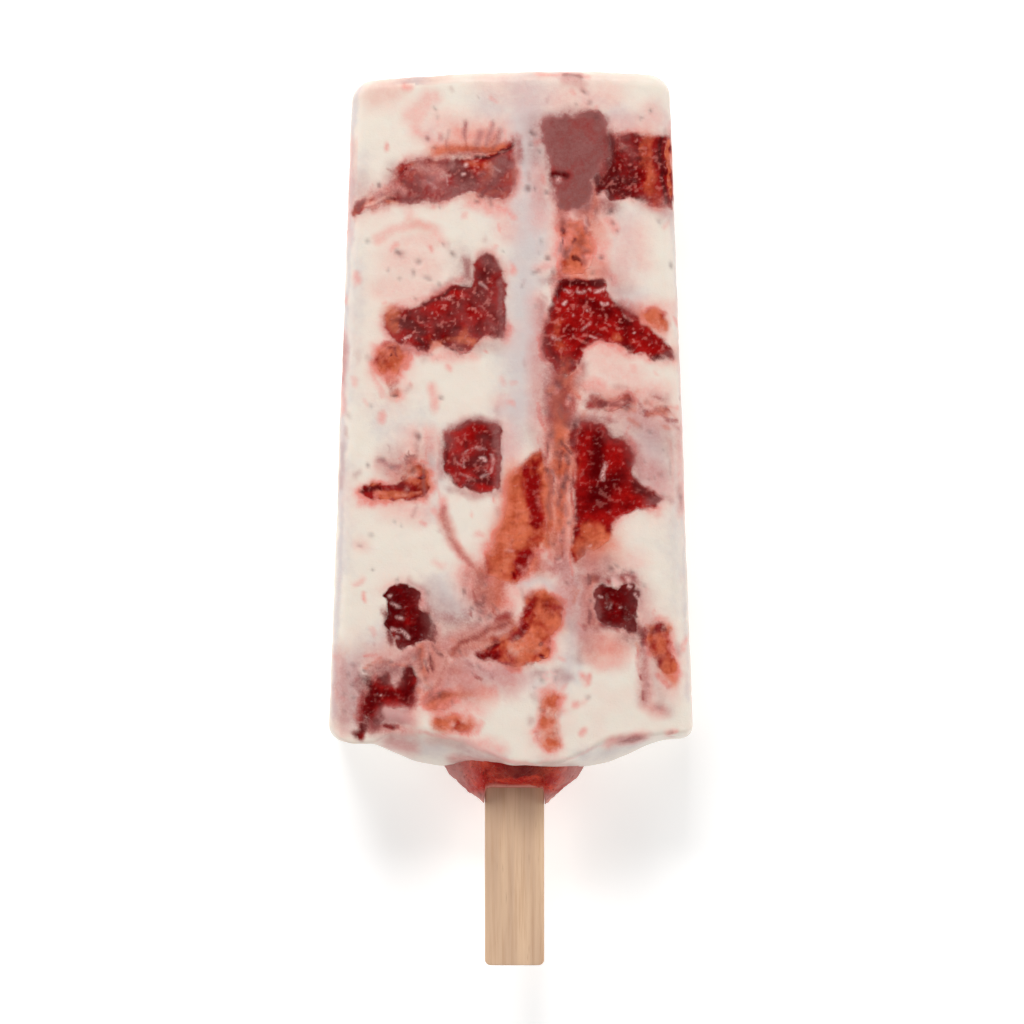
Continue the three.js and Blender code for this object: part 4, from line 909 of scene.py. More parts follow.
# %% Trails, clouds and heaps of fruit
# Where fruit slid down the mould: how many strokes, half-width, and the line that they follow.
TRAILS = {
    "front": [
        (170, 1.9, 8.2, 14, 8.4, -6), (30, 2.0, -4.6, -9, -5, -15), (70, 2.2, 8.8, 26, 8, 15),
        (60, 2.4, 12, 52, 11, 43), (34, 2.4, -13.6, -19, -14, -28), (14, 2.4, -9, -21, -2, -25),
        (24, 2.0, 12.6, -8, 12.6, -19), (40, 2.0, 15, 20, 27, 17.6), (24, 1.6, -24, -24.4, -17, -23.4),
        (10, 1.2, 21, -18, 22.4, -29), (24, 1.8, -19, 8.4, -15.4, 9.4), (20, 2.2, -18.4, 56.4, -2, 57.4),
    ],
    "back": [
        (90, 2.0, 9, 32, 7, -10), (60, 2.2, -13, 12, -11, -22), (50, 2.4, -3, 62, -5, 44),
        (40, 2.0, 16, -14, 20, -32),
    ],
    "left": [
        (30, 1.6, 3, 68, 5, 46), (44, 1.6, -3, 34, -1, 2), (30, 1.4, 4, -8, 2, -32),
        (20, 1.2, -5, 60, -4, 48),
    ],
    "right": [
        (40, 1.6, 0, 62, 2, 36), (34, 1.6, 4, 22, 3, 0), (30, 1.4, -4, -2, -2, -30),
        (20, 1.2, 5, 66, 4, 52),
    ],
}
# Heaps of thin fruit just under the skin: place, size and slope of each.
HEAPS = {
    "back": [(6, 60, 1.8, 95), (-20, 30, 1.5, 80), (2, -28, 1.8, 10), (22, -6, 1.6, 95)],
    "left": [
        (2, 63, 1.7, 80), (-3.5, 49, 2.2, 100), (3, 38, 1.5, 95), (-2, 21, 1.8, 70),
        (4, 10, 1.4, 90), (1, -12, 2.0, 85), (-4, -26, 1.8, 100),
    ],
    "right": [
        (-5.5, 61, 1.7, 90), (-5, 55.5, 1.5, 100), (2, 44, 1.8, 80), (-3, 29, 1.4, 95),
        (1.5, 9, 2.0, 85), (-1.5, -3, 1.6, 100), (3, -16, 1.5, 90), (-4, -26, 2.0, 80),
    ],
    "tip": [(-16, -2, 2.2, 10), (-6, 4, 1.6, 170), (10, 2.5, 1.8, 15), (21, -1, 2.0, 165)],
}
# For each layer of a heap: its strokes, their strength, half-width and scatter.
HEAP_LAYERS = {
    "fruit": (9, 0.9, 0.45, 0.9), "deep": (5, 0.75, 0.35, 0.8), "orange": (6, 0.8, 0.5, 1.2),
    "veil": (5, 0.55, 0.6, 1.3), "blush": (5, 0.6, 1.2, 1.3),
}


def smears(half_across, low, high, count, seed):
    """Wide faint clouds of juice and ice for a face that has no marks of its own."""
    dice = np.random.default_rng(seed)
    strokes = {"blush": [], "cool": [], "orange": [], "veil": []}
    for _ in range(count):
        layer = dice.choice(["blush", "blush", "cool", "cool", "cool", "orange", "veil"])
        x, y = dice.uniform((-half_across, low), (half_across, high))
        end = (x + dice.normal(0, 1.5), y + dice.normal(0, 7))
        most = {"blush": 0.5, "cool": 0.8, "orange": 0.3, "veil": 0.3}[layer]
        strokes[layer].append((most * dice.uniform(0.4, 1), dice.uniform(1.0, 3.0), x, y, *end))
    return strokes


def trail_marks(trails, seed):
    """Short strokes of pulp scattered along each trail, most of them lying along it."""
    dice = np.random.default_rng(seed)
    kinds = ["blush", "blush", "orange", "orange", "fruit", "deep", "veil", "spot", "wipe"]
    strokes = {layer: [] for layer in LAYERS}
    for count, half, *path in trails:
        line = np.array(path, float).reshape(-1, 2)
        run = line[-1] - line[0]
        slope = math.atan2(run[1], run[0])
        for _ in range(count):
            x, y = line[0] + dice.random() * run + dice.normal(0, 0.55 * half, 2)
            kind = dice.choice(kinds)
            length = 0.05 if kind == "spot" else dice.uniform(0.3, 2.0)
            angle = slope + dice.normal(0, 0.4)
            end = (x + length * math.cos(angle), y + length * math.sin(angle))
            strength = dice.uniform(0.3, 0.75)
            width = dice.uniform(0.28, 0.55)
            if kind == "wipe":
                for layer in ("fruit", "orange", "veil"):
                    strokes[layer].append((-0.8 * strength, width, x, y, *end))
            else:
                strokes[kind].append((strength, width, x, y, *end))
            if kind == "deep":
                strokes["fruit"].append((strength, width, x, y, *end))
    return strokes


def heap_marks(heaps, seed):
    """Ragged patches of fruit, each a heap of short strokes with juice round it."""
    dice = np.random.default_rng(seed)
    strokes = {layer: [] for layer in HEAP_LAYERS}
    for x, y, size, degrees in heaps:
        slope = math.radians(degrees)
        lengthwise = np.array([math.cos(slope), math.sin(slope)])
        sideways = np.array([-lengthwise[1], lengthwise[0]])
        for layer, (count, strength, width, scatter) in HEAP_LAYERS.items():
            for _ in range(count):
                along, across = dice.normal(0, size * scatter, 2)
                start = np.array([x, y]) + 1.3 * along * lengthwise + 0.5 * across * sideways
                angle = slope + dice.normal(0, 0.5)
                length = size * dice.uniform(0.3, 1.2)
                end = start + length * np.array([math.cos(angle), math.sin(angle)])
                half = size * width * dice.uniform(0.7, 1.2)
                strokes[layer].append((strength * dice.uniform(0.7, 1.1), half, *start, *end))
    return strokes


STRAYS = {
    "front": [front_flecks, trail_marks(TRAILS["front"], 8)],
    "back": [
        back_flecks, trail_marks(TRAILS["back"], 9), smears(27, -34, 72, 60, 14),
        heap_marks(HEAPS["back"], 18),
    ],
    "left": [trail_marks(TRAILS["left"], 10), smears(8, -34, 72, 34, 15), heap_marks(HEAPS["left"], 19)],
    "right": [trail_marks(TRAILS["right"], 11), smears(8, -34, 72, 34, 16), heap_marks(HEAPS["right"], 20)],
    "tip": [smears(25, -6, 6, 20, 17), heap_marks(HEAPS["tip"], 21)],
}
for face, strays in STRAYS.items():
    marks_here = FACE_MARKS.setdefault(face, {})
    for strokes in strays:
        for layer, marks in strokes.items():
            marks_here[layer] = marks_here.get(layer, []) + marks
print("strokes:", {face: sum(map(len, found.values())) for face, found in FACE_MARKS.items()})

# %% [markdown]
# ## Every layer of a face
#
# Inside its outline a berry adds its own red, orange and mauve in blotches, and outside it a narrow
# bleed and a wide blush. The strongest of the berry's own value, the marks and the strays counts,
# and last the wiping marks take their share away.

# %% All layers for one face
def looks_of(name):
    return LOOKS[name.removeprefix("berry_")]


def edge_noise(spots):
    """Raggedness of the berries' edges, in mm."""
    return 0.25 + 0.8 * soft_noise(spots, 2.4, 5, 2) + 0.4 * soft_noise(spots, 0.7, 6, 2)


def blotchy(spots, amount, size, seed):
    """An amount that comes and goes in blotches, but stays 0 or 1 where it is one of them."""
    swing = 2.2 * amount * (1 - amount) + 0.25 * amount
    return np.clip(amount + swing * 1.4 * soft_noise(spots, size, seed, 3), 0, 1)


def seed_of(name):
    return 200 + 7 * sorted(cuts).index(name)


# How much finer than usual the ridges of a berry's flesh are, across the pop and along it. The
# corner's froze in folds, long ones across the pop.
FOLDED = {
    "corner": (0.36, 0.95), "fan": (1.3, 1.4), "heart": (1.3, 1.3),
    "slice": (1.2, 1.2), "spade": (1.3, 1.3),
}


def ridges(spots, name):
    """Crisp curved ridges of frozen flesh, from 0 to 1."""
    seed = seed_of(name)
    finer = np.array(FOLDED.get(name.removeprefix("berry_"), (1.0, 1.0)))
    return 1 - 2 * np.abs(soft_noise(pushed(spots, seed + 1) * finer, 1.3, seed + 2, 2))


# How far from its outline a berry stains the yoghurt, in mm.
BLEED_REACH = 6.0


def paint(face, spots):
    """Every layer's value at points of a face, given in that face's unrolled millimetres."""
    shifted = pushed(spots, 11)
    layers = {layer: np.zeros(len(spots)) for layer in LAYERS}
    for layer, strokes in FACE_MARKS.get(face, {}).items():
        layers[layer] = mark_layer(shifted, strokes)
    ragged = edge_noise(spots)
    patches = np.clip(0.75 + 1.3 * soft_noise(spots, 3.5, 26, 2), 0.15, 1.25)
    for name, cut in cuts.items():
        if cut["face"] != face:
            continue
        look = looks_of(name)
        inside = inside_distance(spots, cut["outline"], BLEED_REACH)
        near = inside > 0.1 - BLEED_REACH
        spot = spots[near]
        depth = inside[near] + ragged[near]
        patchy = patches[near]
        mask = ramp(depth, -look.softness, look.softness) * blotchy(spot, look.thick, 1.6, 20)
        past = np.clip(-depth, 0, None)
        bleed = look.bleed * (0.75 * np.exp(-((past / 0.9) ** 2)) + 0.4 * np.exp(-past / 2.0))
        film = min(0.65, 0.08 + 2 * look.veil) * np.exp(-((depth / 0.7) ** 2)) * patchy
        film = film * max(0, 1 - 1.6 * look.orange)
        crystals = 0.5 * ridges(spot, name) + 1.1 * soft_noise(spot, 0.55, 24, 2)
        values = {
            "fruit": mask,
            "deep": ramp(depth, -0.4, 0.3) * blotchy(spot, look.deep, 2.4, 21),
            "orange": ramp(depth, -1.0, 0.3) * blotchy(spot, look.orange, 1.9, 22),
            "veil": np.maximum(ramp(depth, -0.4, 0.3) * blotchy(spot, look.veil, 2.2, 23), film),
            # Crystal flecks on the flesh: pale frost, partly painted glints.
            "frost": mask * look.frost * ramp(crystals, 0.5, 0.85),
            "blush": np.clip(bleed * patchy, 0, 1),
        }
        for layer, value in values.items():
            layers[layer][near] = np.maximum(layers[layer][near], value)
    faint_pink = 0.08 * ramp(soft_noise(spots, 5.0, 31, 3), 0.05, 0.6)
    layers["blush"] = np.maximum(layers["blush"], faint_pink)
    for layer, strokes in FACE_MARKS.get(face, {}).items():
        layers[layer] *= 1 - mark_layer(shifted, strokes, wiping=True)
    return layers


test = paint("front", np.array([[-5.0, 35.0], [0.0, -30.0]]))
print("fan and plain yoghurt, fruit:", test["fruit"].round(2))

# %% [markdown]
# ## Writing a material as an expression
#
# A material's nodes are easier to read as arithmetic. A Wire is a value on its way through the
# material; adding or multiplying two of them adds a Math node. Everything else, such as noise or a
# blend of two colours, comes from the recipe's one method for nodes.

# %% Wires and recipes
class Wire:
    """A value on its way through a material."""

    def __init__(self, recipe, socket):
        self.recipe = recipe
        self.socket = socket

    def math(self, operation, first, second):
        return self.recipe.node("Math", {"operation": operation}, {0: first, 1: second})

    def __add__(self, other):
        return self.math("ADD", self, other)

    def __sub__(self, other):
        return self.math("SUBTRACT", self, other)

    def __rsub__(self, other):
        return self.math("SUBTRACT", other, self)

    def __mul__(self, other):
        return self.math("MULTIPLY", self, other)

    __radd__ = __add__


class Recipe:
    """The nodes of one material, added one expression at a time."""

    def __init__(self, name, **constants):
        self.material = bpy.data.materials.new(name)
        self.material.use_nodes = True
        self.tree = self.material.node_tree
        self.shader = self.tree.nodes["Principled BSDF"]
        for socket, value in constants.items():
            self.shader.inputs[socket.replace("_", " ")].default_value = value
        place = self.node("TexCoord", output="Object")
        self.mm = self.node("VectorMath", {"operation": "SCALE"}, {0: place, "Scale": 1000.0})

    def node(self, kind, settings=None, inputs=None, output=0):
        made = self.tree.nodes.new("ShaderNode" + kind)
        for setting, value in (settings or {}).items():
            setattr(made, setting, value)
        for socket, value in (inputs or {}).items():
            if isinstance(value, Wire):
                self.tree.links.new(value.socket, made.inputs[socket])
            else:
                made.inputs[socket].default_value = value
        return Wire(self, made.outputs[output])

    def layer(self, name):
        return self.node("Attribute", {"attribute_name": name}, output="Fac")

    def noise(self, size, detail=2.0, rough=0.5, stretch=(1, 1, 1)):
        """Cloudy noise from 0 to 1 whose lumps are about size mm."""
        where = self.node("VectorMath", {"operation": "MULTIPLY"}, {0: self.mm, 1: stretch})
        settings = {"Vector": where, "Scale": 1 / size, "Detail": detail, "Roughness": rough}
        return self.node("TexNoise", {}, settings, output="Fac")

    def rise(self, value, low, high):
        settings = {"Value": value, "From Min": low, "From Max": high}
        return self.node("MapRange", {"interpolation_type": "SMOOTHSTEP"}, settings)

    def blend(self, amount, under, over):
        return self.node("Mix", {"data_type": "RGBA"}, {0: amount, 6: under, 7: over}, output=2)

    def bump(self, height, distance):
        """Small relief: a height from 0 to 1 that stands for a distance in metres."""
        return self.node("Bump", {}, {"Height": height, "Distance": distance}, output="Normal")

    def feed(self, **links):
        for socket, value in links.items():
            self.tree.links.new(value.socket, self.shader.inputs[socket.replace("_", " ")])


def paint_colour(red, green, blue):
    """A display colour from 0 to 255 as the linear colour that a shader wants."""
    parts = [value / 255 for value in (red, green, blue)]
    return (*[p / 12.92 if p < 0.04045 else ((p + 0.055) / 1.055) ** 2.4 for p in parts], 1.0)


print("mid grey, linear:", round(paint_colour(128, 128, 128)[0], 3))

# %% [markdown]
# ## The colours of frozen yoghurt and fruit
#
# Yoghurt and berries share one chain of layers, because yoghurt is stained with juice and fruit is
# veiled with yoghurt. The chain starts from cream, cools where the ice is clear, takes up pink and
# orange juice, then the red of flesh with its pale crystals, which are partly painted glints, and
# last the thin film, painted highlights with some pale frost, and the pinholes on top.
# Fine noise in the material breaks up what the mesh is too coarse to hold.

# %% The shared chain of layers
CREAM = paint_colour(232, 221, 208)
COOL = paint_colour(209, 198, 195)
SALMON = paint_colour(231, 143, 134)
ORANGE = paint_colour(216, 111, 78)
RUST = paint_colour(172, 66, 38)
RED = paint_colour(160, 14, 12)
DEEP = paint_colour(86, 0, 3)
MAUVE_DARK = paint_colour(116, 60, 57)
MAUVE_PALE = paint_colour(156, 98, 95)
PINK_MAUVE = paint_colour(172, 108, 106)
CRYSTAL_AND_GLINT = paint_colour(222, 132, 122)
PAINTED_GLINT_AND_FROST = paint_colour(234, 184, 178)
PINHOLE = paint_colour(112, 66, 66)


def marbled(recipe):
    """The colour of the surface, how much of it is bare fruit, and its crystals, which are partly painted
    glints.
    """
    mottle = recipe.noise(1.1, 3.0, 0.6)
    grain = recipe.noise(0.35, 2.0, 0.6)
    cloud = recipe.noise(6.0, 3.0, 0.6)
    uneven = mottle * 0.6 + grain * 0.4
    blots = recipe.noise(2.2, 3.0, 0.55, stretch=(1, 0.6, 1))
    cool = recipe.rise(recipe.layer("cool") + (cloud - 0.5) * 0.9 + (mottle - 0.5) * 0.5, 0.0, 1.0)
    blush = recipe.layer("blush") * (uneven * 1.7 + 0.35)
    orange = recipe.layer("orange") * (uneven * 0.6 + 0.7)
    fruit = recipe.rise(recipe.layer("fruit") + (uneven - 0.5) * 0.6, 0.1, 0.9)
    deep = recipe.rise(recipe.layer("deep") + (blots * 0.6 + uneven * 0.4 - 0.5) * 1.1, 0.0, 0.95)
    veil = recipe.layer("veil") * (uneven * 1.2 + 0.4)
    crystal_and_glint = recipe.layer("frost") * (grain * 1.2 + 0.2)
    flesh = recipe.blend(deep, RED, DEEP)
    rusty = recipe.rise(blots * 0.7 + mottle * 0.3, 0.3, 0.75)
    juicy = recipe.rise(orange - deep * 0.8, 0.0, 0.75)
    flesh = recipe.blend(juicy, flesh, recipe.blend(rusty, ORANGE, RUST))
    colour = recipe.blend(cool, CREAM, COOL)
    colour = recipe.blend(blush, colour, SALMON)
    colour = recipe.blend(orange * 0.85, colour, ORANGE)
    colour = recipe.blend(fruit, colour, flesh)
    # Pale crystal flecks, partly painted glints.
    colour = recipe.blend(crystal_and_glint, colour, CRYSTAL_AND_GLINT)
    film = recipe.blend(fruit, PINK_MAUVE, recipe.blend(uneven, MAUVE_DARK, MAUVE_PALE))
    film = recipe.blend(cool * 0.6, film, PINK_MAUVE)
    colour = recipe.blend(veil, colour, film)
    # Painted highlights, with some pale frost, where the gleam layer is.
    colour = recipe.blend(recipe.layer("gleam") * recipe.rise(uneven, 0.3, 0.6), colour, PAINTED_GLINT_AND_FROST)
    colour = recipe.blend(recipe.layer("spot") * 0.85, colour, PINHOLE)
    return colour, fruit * (1 - veil * 0.7), crystal_and_glint


print("layers in the chain:", *LAYERS)

# %% Yoghurt
yoghurt = Recipe(
    "frozen_yoghurt", Specular_IOR_Level=0.3, Coat_Roughness=0.12,
    Subsurface_Weight=0.4, Subsurface_Scale=0.0009, Subsurface_Radius=(1.0, 0.6, 0.5),
)
colour, bare, _ = marbled(yoghurt)
frost = yoghurt.noise(0.28, 3.0, 0.65)
yoghurt.feed(
    Base_Color=colour,
    Roughness=0.52 - bare * 0.2 + (frost - 0.5) * 0.2,
    Coat_Weight=0.1 - bare * 0.04,
    Normal=yoghurt.bump(frost * 0.5 + yoghurt.noise(1.3, 2.0) * 0.5, 0.00012),
)
print("nodes in the yoghurt's recipe:", len(yoghurt.tree.nodes))

# %% Strawberry
strawberry = Recipe(
    "cut_strawberry", Specular_IOR_Level=0.02, Coat_Roughness=0.07,
    Subsurface_Weight=0.05, Subsurface_Scale=0.0005, Subsurface_Radius=(1.0, 0.3, 0.25),
)
colour, bare, crystal_and_glint = marbled(strawberry)
cells = strawberry.noise(0.32, 3.0, 0.7)
strawberry.feed(
    Base_Color=colour,
    Roughness=0.52 - bare * 0.25 + (cells - 0.5) * 0.15,
    Coat_Weight=bare * 0.05 + 0.01,
    Normal=strawberry.bump(cells * 0.5 + crystal_and_glint * 0.5, 0.0002),
)
print("nodes in the strawberry's recipe:", len(strawberry.tree.nodes))

# %% [markdown]
# ## The floor
#
# A plain pale board, wide enough to fill every view. It isn't part of the pop.

# %% Floor
def mesh_object(name, points, faces, material, smooth=True):
    """A mesh of world points with a finish, added to the scene."""
    mesh = bpy.data.meshes.new(name)
    mesh.from_pydata(points.tolist(), [], [tuple(face) for face in faces])
    mesh.materials.append(material)
    if smooth:
        mesh.shade_smooth()
    return add_object(name, mesh)


def ring_quads(rings, size, turned=False):
    """Four-sided faces between each ring of a tube and the next one."""
    here = np.arange(rings - 1)[:, None] * size + np.arange(size)
    beside = np.arange(rings - 1)[:, None] * size + (np.arange(size) + 1) % size
    corners = [here, here + size, beside + size, beside]
    if turned:
        corners = [here, beside, beside + size, here + size]
    return np.stack(corners, -1).reshape(-1, 4).tolist()


def store_layers(piece, layers):
    """Keeps each layer on the mesh's points, under the name that its recipe asks for."""
    for layer, values in layers.items():
        attribute = piece.data.attributes.new(layer, "FLOAT", "POINT")
        attribute.data.foreach_set("value", values.astype(np.float32))


board = Recipe("pale_board", Roughness=0.9, Specular_IOR_Level=0.1, Emission_Strength=0.3)
board_shade = board.noise(60.0, 2.0)
board_colour = board.blend(board_shade, paint_colour(250, 250, 250), paint_colour(252, 252, 251))
board.feed(Base_Color=board_colour, Emission_Color=board_colour)
half_floor = 3.0
corners = half_floor * np.array([[-1, -1, 0], [1, -1, 0], [1, 1, 0], [-1, 1, 0]], float)
floor = mesh_object("floor", corners, [(0, 1, 2, 3)], board.material, smooth=False)
print("floor half width, m:", half_floor)

# %% [markdown]
# ## The yoghurt
#
# The slab is one closed skin of rings. Each ring goes once round the pop: finely over the face and
# the sides that show, coarsely over the back. Rings run from the middle of the tip, over its
# rounded rim, down the body, over the lip at the mouth and across the domed end. The same few
# dimensions as the solid's keep it in the solid's place.

# %% One ring round the slab
FINE = 0.34
COARSE = 1.15
FRONT_WALL_STEP = 0.55
BACK_WALL_STEP = 1.1
ARC = EDGE_RADIUS * math.pi / 2


def half_ring(face_step, wall_step):
    """Unrolled positions from the middle of one side, over a face, to the middle of the other."""
    wall = np.linspace(0, WALL_DEPTH, round(WALL_DEPTH / wall_step) + 1)[1:] + FACE_HALF + ARC
    arc = np.linspace(0, ARC, round(ARC / (face_step * 1.15)) + 1)[1:] + FACE_HALF
    face = np.linspace(-FACE_HALF, FACE_HALF, round(2 * FACE_HALF / face_step) + 1)
    return np.concatenate([-wall[::-1], -arc[::-1], face, arc, wall])


front_ring = half_ring(FINE, FRONT_WALL_STEP)
back_ring = half_ring(COARSE, BACK_WALL_STEP)
# The back runs the other way, so the two halves join into one loop.
unrolled = np.concatenate([front_ring, back_ring[1:-1]])
is_back = np.concatenate([np.zeros(len(front_ring), bool), np.ones(len(back_ring) - 2, bool)])


def ring_at(half_w, half_d):
    """Positions across and through, and the facing direction, for a ring of this size."""
    along = np.abs(unrolled)
    side = np.sign(unrolled)
    turn = np.clip((along - FACE_HALF) / EDGE_RADIUS, 0, math.pi / 2)
    face = np.minimum(along, FACE_HALF) / FACE_HALF * (half_w - EDGE_RADIUS)
    down = np.clip(along - FACE_HALF - ARC, 0, None) / WALL_DEPTH
    x = side * (face + EDGE_RADIUS * np.sin(turn))
    z = half_d - EDGE_RADIUS + EDGE_RADIUS * np.cos(turn)
    z = z - down * (half_d - EDGE_RADIUS)
    flip = np.where(is_back, -1.0, 1.0)
    return x * flip, z * flip, side * np.sin(turn) * flip, np.cos(turn) * flip


print("points in a ring:", len(unrolled))

# %% The rows of rings
DOME_HEIGHT = 4.9


def swell(x, centre, reach, power):
    """A lobe of height 1 round a centre. The higher the power, the flatter its top."""
    return np.exp(-(np.abs((x - centre) / reach) ** power))


def end_reach(x, z):
    """How far the frozen end stands out beyond the mouth: a dome between two lips."""
    crest = DOME_HEIGHT * swell(x, 0.3, 21.2, 5.6)
    front_lip = -1 + 4.9 * swell(x, 4, 10, 3) + 1.5 * swell(x, -25.4, 4.2, 4) - 0.8 * swell(x, -14.5, 3, 2)
    front_lip = front_lip + 0.3 * soft_noise(np.stack([x, 0 * x], -1), 2.6, 61, 2)
    back_lip = -0.8 + 0.9 * swell(x, -6, 12, 2)
    across = np.minimum(1, np.abs(z) / MOUTH_HALF_THICKNESS) ** 2
    return crest + (np.where(z > 0, front_lip, back_lip) - crest) * across


def end_height(x, z):
    return MOUTH_Y - end_reach(x, z)


def tapered(x, y, z):
    return np.stack([x * narrow(y), y, z * thin(y)], -1)


def rim_row(angle, side_radius, face_radius, height, direction):
    """A ring on a rounded rim. An angle of 90 degrees is flat on the end, 0 is on the body."""
    pull = 1 - math.cos(math.radians(angle))
    half_w = MOUTH_HALF_WIDTH - side_radius * pull
    half_d = MOUTH_HALF_THICKNESS - face_radius * pull
    x, z, facing_x, facing_z = ring_at(half_w, half_d)
    radius = side_radius * facing_x**2 + face_radius * facing_z**2
    y = height(x, z) + direction * radius * (1 - math.sin(math.radians(angle)))
    return np.stack([x, y, z], -1)


def cap_row(scale, side_radius, face_radius, height):
    x, z, _, _ = ring_at(MOUTH_HALF_WIDTH - side_radius, MOUTH_HALF_THICKNESS - face_radius)
    x, z = x * scale, z * scale
    return np.stack([x, height(x, z), z], -1)


# Each rim: its radius at the sides and at the faces, where its end lies, and which way it turns.
TIP_RIM = (3.6, 2.2, lambda x, z: tip_height(x), -1)
MOUTH_RIM = (2.0, 0.8, end_height, 1)
BODY_LENGTH = 108.5
ROW_STRETCH = 1.2
tip_cap = [cap_row(s, *TIP_RIM[:3]) for s in np.linspace(0.03, 0.97, 18)]
tip_rim = [rim_row(angle, *TIP_RIM) for angle in np.linspace(90, 0, 9)]
mouth_rim = [rim_row(angle, *MOUTH_RIM) for angle in np.linspace(0, 90, 6)]
mouth_cap = [cap_row(s, *MOUTH_RIM[:3]) for s in np.linspace(0.98, 0.03, 32)]
body_rows = round(BODY_LENGTH / (FINE * ROW_STRETCH))
body = [tip_rim[-1] + (mouth_rim[0] - tip_rim[-1]) * t for t in np.linspace(0, 1, body_rows)[1:-1]]
rows = np.array([*tip_cap, *tip_rim, *body, *mouth_rim, *mouth_cap])
skin_rows = tapered(rows[..., 0], rows[..., 1], rows[..., 2])
print("rings:", len(rows), "points:", rows.shape[0] * rows.shape[1])

# %% Unrolled places and outward directions of the rings
def outward(grid):
    """Directions out of a closed tube of rings."""
    around = np.roll(grid, -1, 1) - np.roll(grid, 1, 1)
    along = np.gradient(grid, axis=0)
    out = np.cross(around, along)
    out /= np.linalg.norm(out, axis=-1, keepdims=True) + 1e-12
    return out if out[len(out) // 2, len(front_ring) // 2, 2] > 0 else -out


out_rows = outward(skin_rows)
height_y = skin_rows[..., 1]
capped = np.zeros(len(rows), bool)
capped[: len(tip_cap)] = True
capped[-len(mouth_cap):] = True
along = np.abs(unrolled)[None, :]
bend = np.clip(along - FACE_HALF, 0, ARC) * (narrow(height_y) + thin(height_y)) / 2
down = np.clip(along - FACE_HALF - ARC, 0, None) * thin(height_y)
face_x = np.abs(skin_rows[..., 0]).clip(None, FACE_HALF * narrow(height_y))
across_rows = np.sign(unrolled)[None, :] * (face_x + np.where(capped[:, None], 0, bend + down))
across_rows = np.where(capped[:, None], skin_rows[..., 0] * np.where(is_back, -1, 1), across_rows)
# The tip's flat end is unrolled past the rim: the further in, the further up.
rim_depth = np.abs(skin_rows[len(tip_cap), :, 2])
past_rim = np.zeros(height_y.shape)
past_rim[: len(tip_cap)] = rim_depth - np.abs(skin_rows[: len(tip_cap), :, 2])
up_rows = height_y + past_rim
print("unrolled span:", across_rows.min().round(1), across_rows.max().round(1))

# %% [markdown]
# Juice, fruit and frost change the level of the surface as well as its colour. A pocket lies under
# each berry, deeper than the berry's own face, so the border that shows is where the two surfaces
# cross. Bubbles leave pits, and the whole skin waves slightly where the ice pushed the mould.

# %% Levels of the yoghurt's skin
def wave(points):
    """Slow unevenness that yoghurt and berries share, in mm."""
    return 0.16 * soft_noise(points, 11.0, 71, 2) + 0.05 * soft_noise(points, 2.6, 72, 2)


def pocket(face, spots):
    """How far the yoghurt's skin is sunk under and round the berries of a face."""
    ragged = edge_noise(spots)
    sunk = np.zeros(len(spots))
    for name, cut in cuts.items():
        if cut["face"] == face:
            inside = inside_distance(spots, cut["outline"]) + ragged
            sunk = np.maximum(sunk, 1.5 * ramp(inside, 0.0, 1.6))
    return sunk


SIDE_SKIN = 1.5


def side_spots(face, points):
    """Mould points in the drawing plane of a side or of the tip, and whether they lie near it."""
    flat = points @ PLANES[face].T
    level = half_width(points[:, 1]) if face in ("left", "right") else tip_height(points[:, 0])
    return flat[:, :2], np.abs(flat[:, 2] - level) < SIDE_SKIN


def painted_skin(points, face, across, up):
    """Layers and sinking for points of one half of the slab, with the cuts of sides and tip."""
    spots = np.stack([across, up], -1)
    # Front and back both fade out toward the middle of the sides, so they meet without a seam.
    fade = ramp(np.abs(points[:, 2]), 0.2, 2.5)
    layers = {layer: value * fade for layer, value in paint(face, spots).items()}
    sunk = pocket(face, spots) * fade
    for side in ("left", "right", "tip"):
        flat, near = side_spots(side, points)
        side_layers = paint(side, flat[near])
        for layer in LAYERS:
            layers[layer][near] = np.maximum(layers[layer][near], side_layers[layer])
        sunk[near] = np.maximum(sunk[near], pocket(side, flat[near]))
    return layers, sunk


flat_points = skin_rows.reshape(-1, 3)
back_points = np.tile(is_back, len(rows))
layers = {layer: np.zeros(len(flat_points)) for layer in LAYERS}
sunk = np.zeros(len(flat_points))
for face, chosen in (("front", ~back_points), ("back", back_points)):
    across, up = (grid.reshape(-1)[chosen] for grid in (across_rows, up_rows))
    found, depth = painted_skin(flat_points[chosen], face, across, up)
    sunk[chosen] = depth
    for layer in LAYERS:
        layers[layer][chosen] = found[layer]
bubbles = 0.12 * pits(flat_points[:, :2], 3.1, 9) ** 2 * (layers["fruit"] < 0.2)
pinholes = 0.35 * layers["spot"] + bubbles
lift = wave(flat_points) - sunk - pinholes
print("deepest pocket, mm:", round(float(-lift.min()), 2))

# %% The yoghurt piece
ring_size = len(unrolled)
ring_count = len(rows)
body_points = flat_points + out_rows.reshape(-1, 3) * lift[:, None]
tip_pole = skin_rows[0].mean(0) + [0, lift[:ring_size].mean(), 0]
end_pole = skin_rows[-1].mean(0) - [0, lift[-ring_size:].mean(), 0]
all_points = np.vstack([body_points, tip_pole, end_pole])
first = np.arange(ring_size)
after = (first + 1) % ring_size
pole = len(body_points)
last_ring = (ring_count - 1) * ring_size
slab_faces = ring_quads(ring_count, ring_size)
slab_faces += [(pole, a, b) for a, b in zip(first, after)]
slab_faces += [(last_ring + b, last_ring + a, pole + 1) for a, b in zip(first, after)]
yoghurt_piece = mesh_object("yoghurt_slab", to_world(all_points), slab_faces, yoghurt.material)
for layer, value in layers.items():
    layers[layer] = np.append(value, [value[:ring_size].mean(), value[-ring_size:].mean()])
store_layers(yoghurt_piece, layers)
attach(yoghurt_piece, "root")
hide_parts("yoghurt")
print("yoghurt faces:", len(yoghurt_piece.data.polygons))

# %% [markdown]
# ## The cut berries
#
# Each berry is a fine sheet that follows the skin inside its own outline, with walls and a floor
# down in its pocket, so it is a closed piece. The flesh is rough with ice crystals and small
# bubbles, which is what catches the light.

